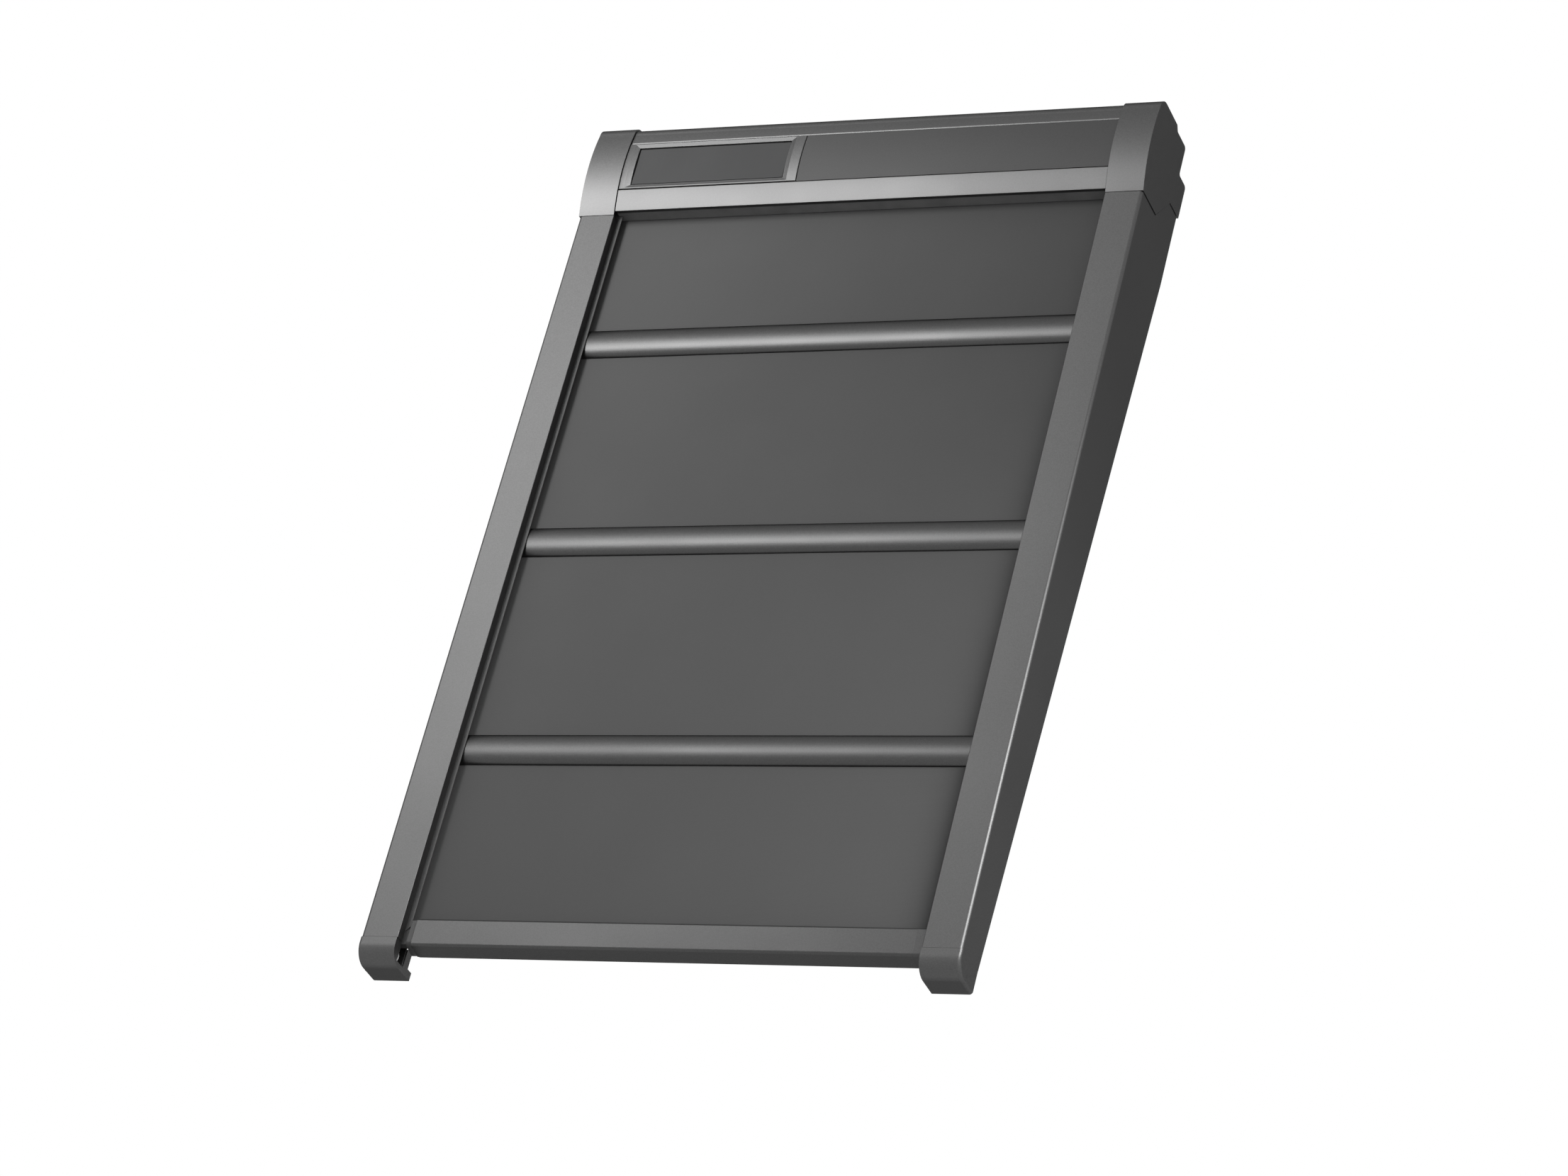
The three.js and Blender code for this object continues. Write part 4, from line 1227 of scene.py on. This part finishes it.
def bottom_bar():
    groove_foot = BOTTOM_TOP - GROOVE
    neck = FABRIC_FRONT - GAP - BOTTOM_WALL
    back = FABRIC_BACK + GAP + BOTTOM_WALL
    outside = filleted([
        (BOTTOM_FACE, BOTTOM_TOP, 0.8),
        (BOTTOM_FACE, BOTTOM_EDGE, 3.5),
        (BOTTOM_BACK, BOTTOM_UNDER, 1.5),
        (BOTTOM_BACK, groove_foot - 8, 2),
        (back, groove_foot - 2, 2),
        (back, BOTTOM_TOP, 0.5),
    ], 5)
    inside = filleted([
        (BOTTOM_FACE + BOTTOM_WALL, BOTTOM_TOP - BOTTOM_WALL, 0.5),
        (BOTTOM_FACE + BOTTOM_WALL, BOTTOM_EDGE + BOTTOM_WALL, 0.5),
        (BOTTOM_BACK - BOTTOM_WALL, BOTTOM_UNDER + 2 * BOTTOM_WALL, 0.5),
        (BOTTOM_BACK - BOTTOM_WALL, groove_foot - 9 - BOTTOM_WALL, 1),
        (FABRIC_BACK, groove_foot - 4 - BOTTOM_WALL, 1),
        (neck, groove_foot - 4, 0.5),
        (neck, BOTTOM_TOP - BOTTOM_WALL, 0.5),
    ], 3)
    solid = across("bottom", outside, BOTTOM_HALF)
    hollow = across("hollow", inside, BOTTOM_HALF + 1)
    return cut(solid, hollow, fabric_groove(-BOTTOM_HALF, BOTTOM_HALF), rebate())


wear(soften(bottom_bar(), 0.12), "bar_lacquer", "bottom_bar", "bottom_bar")


def bottom_shoe(name, setback, end):
    """A shoe at the bar's right end that reaches out to end, its front set back from the bar's."""
    start = BOTTOM_HALF + GAP
    foot = BOTTOM_EDGE + 3.6
    tip = extent("bottom_shoe_right")[1].x
    front = BOTTOM_FACE + setback
    body = sweep(
        name,
        filleted([
            (front, BOTTOM_TOP, 0.8),
            (front, BOTTOM_EDGE + setback * 0.6, 3.5 + setback),
            (BOTTOM_BACK, BOTTOM_UNDER + setback * 0.3, 1.5),
            (BOTTOM_BACK, foot + 10, 2),
            (FABRIC_BACK + 1, BOTTOM_TOP - 10, 2),
            (FABRIC_BACK + 1, BOTTOM_TOP, 0.5),
        ], 5),
        "x",
        (BOTTOM_HALF + SHOE_SEAM, end),
    )
    if end > GUIDE_EDGE:
        lip_room = box(
            "behind", GUIDE_EDGE - SHOE_PLAY, RAIL_INNER, GUIDE_FRONT - SHOE_PLAY, BOTTOM_BACK + 1,
            0, BOTTOM_TOP + 1,
        )
        cut(body, rebate(), lip_room)
    tongue = box(
        "tongue", start + 1, tip, GUIDE_INSIDE + SHOE_PLAY, TONGUE_BACK, foot, BOTTOM_TOP
    )
    stem = box(
        "stem", start - SHOE_STEM, start + 1,
        BOTTOM_FACE + BOTTOM_WALL + SHOE_PLAY, FABRIC_FRONT - BOTTOM_WALL - 1.1,
        BOTTOM_EDGE + BOTTOM_WALL + 2, BOTTOM_TOP - BOTTOM_WALL - SHOE_PLAY,
    )
    return cut(join(body, tongue, stem), fabric_groove(start, tip))


# The photo shows the right shoe flush with the bar and the left one set back.
shoe = bottom_shoe("bottom_shoe_right", 0, RAIL_INNER - 2)
wear(soften(shoe, 0.1), "shoe_lacquer", "bottom_bar", "bottom_shoe_right")
pattern = bottom_shoe("pattern", 3, GUIDE_EDGE - SHOE_PLAY)
shoe = mirrored(pattern, "bottom_shoe_left")
bpy.data.objects.remove(pattern)
wear(soften(shoe, 0.4), "grey_plastic", "bottom_bar", "bottom_shoe_left")


def bottom_seal():
    """A soft strip with two ribs along the back of the bottom bar."""
    front = BOTTOM_BACK + GAP
    foot = BOTTOM_UNDER + 2
    outline = filleted([
        (front, foot + 2, 0.4), (front + 3, foot, 0.4), (front + 4, foot + 1, 0.4),
        (front + 2.6, foot + 3.4, 0.3), (front + 3.2, foot + 4.4, 0.3),
        (front + 2.2, foot + 5.6, 0.3), (front + 2, foot + 8, 0.4), (front, foot + 8, 0.3),
    ], 3)
    return across("seal", outline, BOTTOM_HALF)


wear(soften(bottom_seal(), 0.15), "seal_rubber", "bottom_bar", "bottom_seal")


def top_seal():
    """The thin lip along the bar's upper front edge, which meets the head when it is open; its
    near-black colour is painted shade for the shadow line along that edge.
    """
    front = BOTTOM_FACE + 0.25
    back = BOTTOM_FACE + REBATE_DEPTH - 0.1
    foot = BOTTOM_TOP - REBATE + 0.1
    top = BOTTOM_TOP + TOP_SEAL
    outline = filleted([(front, foot), (back, foot), (back, top, 0.4), (front, top, 0.3)], 3)
    return sweep("top_seal", outline, "x", (-BOTTOM_HALF, RAIL_INNER - 2.5))


# The lip's near-black colour is painted shade, standing for the shadow line at the bar's top edge.
wear(soften(top_seal(), 0.1), "painted_shade_lip", "bottom_bar")


# Cords


def cord_tube(name, path):
    """A round cord along close points, its section kept square to them."""
    count = 10
    loops = []
    for i, p in enumerate(path):
        ahead = Vector(path[min(i + 1, len(path) - 1)])
        behind = Vector(path[max(i - 1, 0)])
        along = (ahead - behind).normalized()
        side = along.cross(Vector((0, 1, 0))).normalized()
        up = side.cross(along)
        ring = []
        for k in range(count):
            angle = math.tau * k / count
            out = math.cos(angle) * side + math.sin(angle) * up
            ring.append(tuple(Vector(p) + CORD_RADIUS * out))
        loops.append(ring)
    return rings(name, loops)


def return_path():
    bend = arc(PULLEY_CENTRE, PULLEY_HEIGHT, PULLEY_RADIUS, PULLEY_RADIUS, -180, 0, 24)
    path = [(x, PULLEY_DEPTH, z) for x, z in bend]
    for i in range(1, 25):
        share = i / 24
        depth = PULLEY_DEPTH + (REEL_FRONT - PULLEY_DEPTH) * share
        path.append((CORD_OUT, depth, PULLEY_HEIGHT + (ROLLER_HEIGHT - PULLEY_HEIGHT) * share))
    return path


wear_pair(cord_tube("return", return_path()), "return_cord", "cord_braid", "frame", 0.1)


def pull_path():
    low, high = PULLEY_HEIGHT + GAP, BOTTOM_EDGE + 3.3
    return [(CORD_IN, PULLEY_DEPTH, low + (high - low) * i / 24) for i in range(25)]


for side, sign in (("right", 1), ("left", -1)):
    path = [(sign * x, y, z) for x, y, z in pull_path()]
    cord = smooth(cord_tube("pull_" + side, path), 50)
    paint(cord, "cord_braid")
    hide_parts("pull_cord_" + side)
    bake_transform(cord)


# CAD nodes that stay, each with its look and the width of its roundings
DRESSED = {
    "foot_screw": ("plated_steel", 0.15), "pulley_pin": ("plated_steel", 0.2),
    "side_plate": ("plated_steel", 0.5), "cord_reel": ("black_plastic", 0.3),
    "bar_plug_lower": ("grey_plastic", 0.3), "bar_plug_middle": ("grey_plastic", 0.3),
    "bar_plug_upper": ("grey_plastic", 0.3), "slot_wiper": ("seal_rubber", 0.2),
    "roller_tube": ("plated_steel", 0.3), "drive_crown": ("black_plastic", 0.3),
    "crown_ring": ("black_plastic", 0.3), "idler_plug": ("black_plastic", 0.3),
    "tubular_motor": ("dark_lacquer", 0.4), "idler_pin": ("plated_steel", 0.3),
    "battery_pack": ("black_plastic", 1.5), "control_unit": ("grey_plastic", 1.5),
    "solar_lead": ("lead_sheath", 0), "motor_lead": ("lead_sheath", 0),
}

for name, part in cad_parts.items():
    stem = name.removesuffix("_right").removesuffix("_left")
    if part.hide_render or stem not in DRESSED:
        continue
    look, width = DRESSED[stem]
    paint(part, look)
    part.modifiers.new("weld", "WELD").merge_threshold = 1e-5
    flat = part.modifiers.new("flat", "DECIMATE")
    flat.decimate_type = "DISSOLVE"
    flat.angle_limit = math.radians(1)
    if width:
        add_bevel(part, width)
    weigh_normals(part)
    part.data.shade_smooth()


# Camera, light and background

scene = bpy.context.scene
scene.view_settings.view_transform = "Standard"

camera = bpy.data.objects.new("camera", bpy.data.cameras.new("camera"))
scene.collection.objects.link(camera)
scene.camera = camera
camera.data.sensor_width = 36
camera.data.lens = 120.76
camera.data.clip_end = 60
EYE = Vector((2.8173, -4.9570, -2.6950))
RIGHT = Vector((0.9043665, 0.3628787, 0.2245892))
UP = Vector((0.0108251, -0.5456070, 0.8379713))
AHEAD = Vector((-0.4266193, 0.7554019, 0.4973569))
camera.matrix_world = Matrix.LocRotScale(
    EYE, Matrix((RIGHT, UP, -AHEAD)).transposed().to_quaternion(), None
)

CENTRE = Vector((0, -0.05, 0.64))  # of the object, where the lamps' places are counted from


def lamp(name, turn, lift, distance, aim, size, spread, power):
    """A soft rectangular lamp at a turn and lift round the object, aimed at a point."""
    light = bpy.data.lights.new(name, "AREA")
    light.shape = "RECTANGLE"
    light.size, light.size_y = size
    light.spread = math.radians(spread)
    light.energy = power
    made = bpy.data.objects.new(name, light)
    scene.collection.objects.link(made)
    turn, lift = math.radians(turn), math.radians(lift)
    level = math.cos(lift)
    away = Vector((math.sin(turn) * level, -math.cos(turn) * level, math.sin(lift)))
    made.location = CENTRE + away * distance
    made.rotation_mode = "QUATERNION"
    made.rotation_quaternion = (made.location - Vector(aim)).to_track_quat("Z", "Y")


lamp("key", turn=-26.9, lift=19.3, distance=2.8, aim=(-1.2, -0.05, 1.6),
     size=(1.08, 1.28), spread=84, power=30.5)
lamp("side", turn=63, lift=9.5, distance=1.69, aim=(0.62, -0.05, -0.06),
     size=(1.5, 0.42), spread=82, power=11.6)

world = bpy.data.worlds.new("world")
scene.world = world
world.use_nodes = True
tree = world.node_tree
background = tree.nodes["Background"]
dial(background, color=(1, 1, 1, 1))


def rays_that_see(tree):
    """1 for rays from the camera and from metal or glass, 0 for those that light the object."""
    paths = node(tree, "ShaderNodeLightPath", (-900, 0)).outputs
    seen = combine_values(tree, "MAXIMUM", paths["Is Camera Ray"], paths["Is Glossy Ray"])
    return combine_values(tree, "MAXIMUM", seen, paths["Is Transmission Ray"])


AMBIENT = 0.5
FLOOR_GLOW = 0.55
FLOOR_HALF = 9000
FLOOR_LEVEL = -3400

strength = spread(tree, rays_that_see(tree), AMBIENT, 1.0, start=0.0, end=1.0)
tree.links.new(strength, background.inputs["Strength"])

corners = [
    (x * FLOOR_HALF, y * FLOOR_HALF, FLOOR_LEVEL) for x, y in ((-1, -1), (1, -1), (1, 1), (-1, 1))
]
floor = new_piece("floor", corners, [(0, 1, 2, 3)])
floor_paint, tree, shader = plain_material(
    "floor_paint", roughness=0.9, specular_ior_level=0.1, emission_color=(1, 1, 1, 1)
)
tint(tree, shader, noise(tree, scale=3, detail=2), grey(236), grey(240))
glow = spread(tree, rays_that_see(tree), 0.0, FLOOR_GLOW, start=0.0, end=1.0)
tree.links.new(glow, shader.inputs["Emission Strength"])
floor.data.materials.append(floor_paint)
floor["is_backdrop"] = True

low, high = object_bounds()
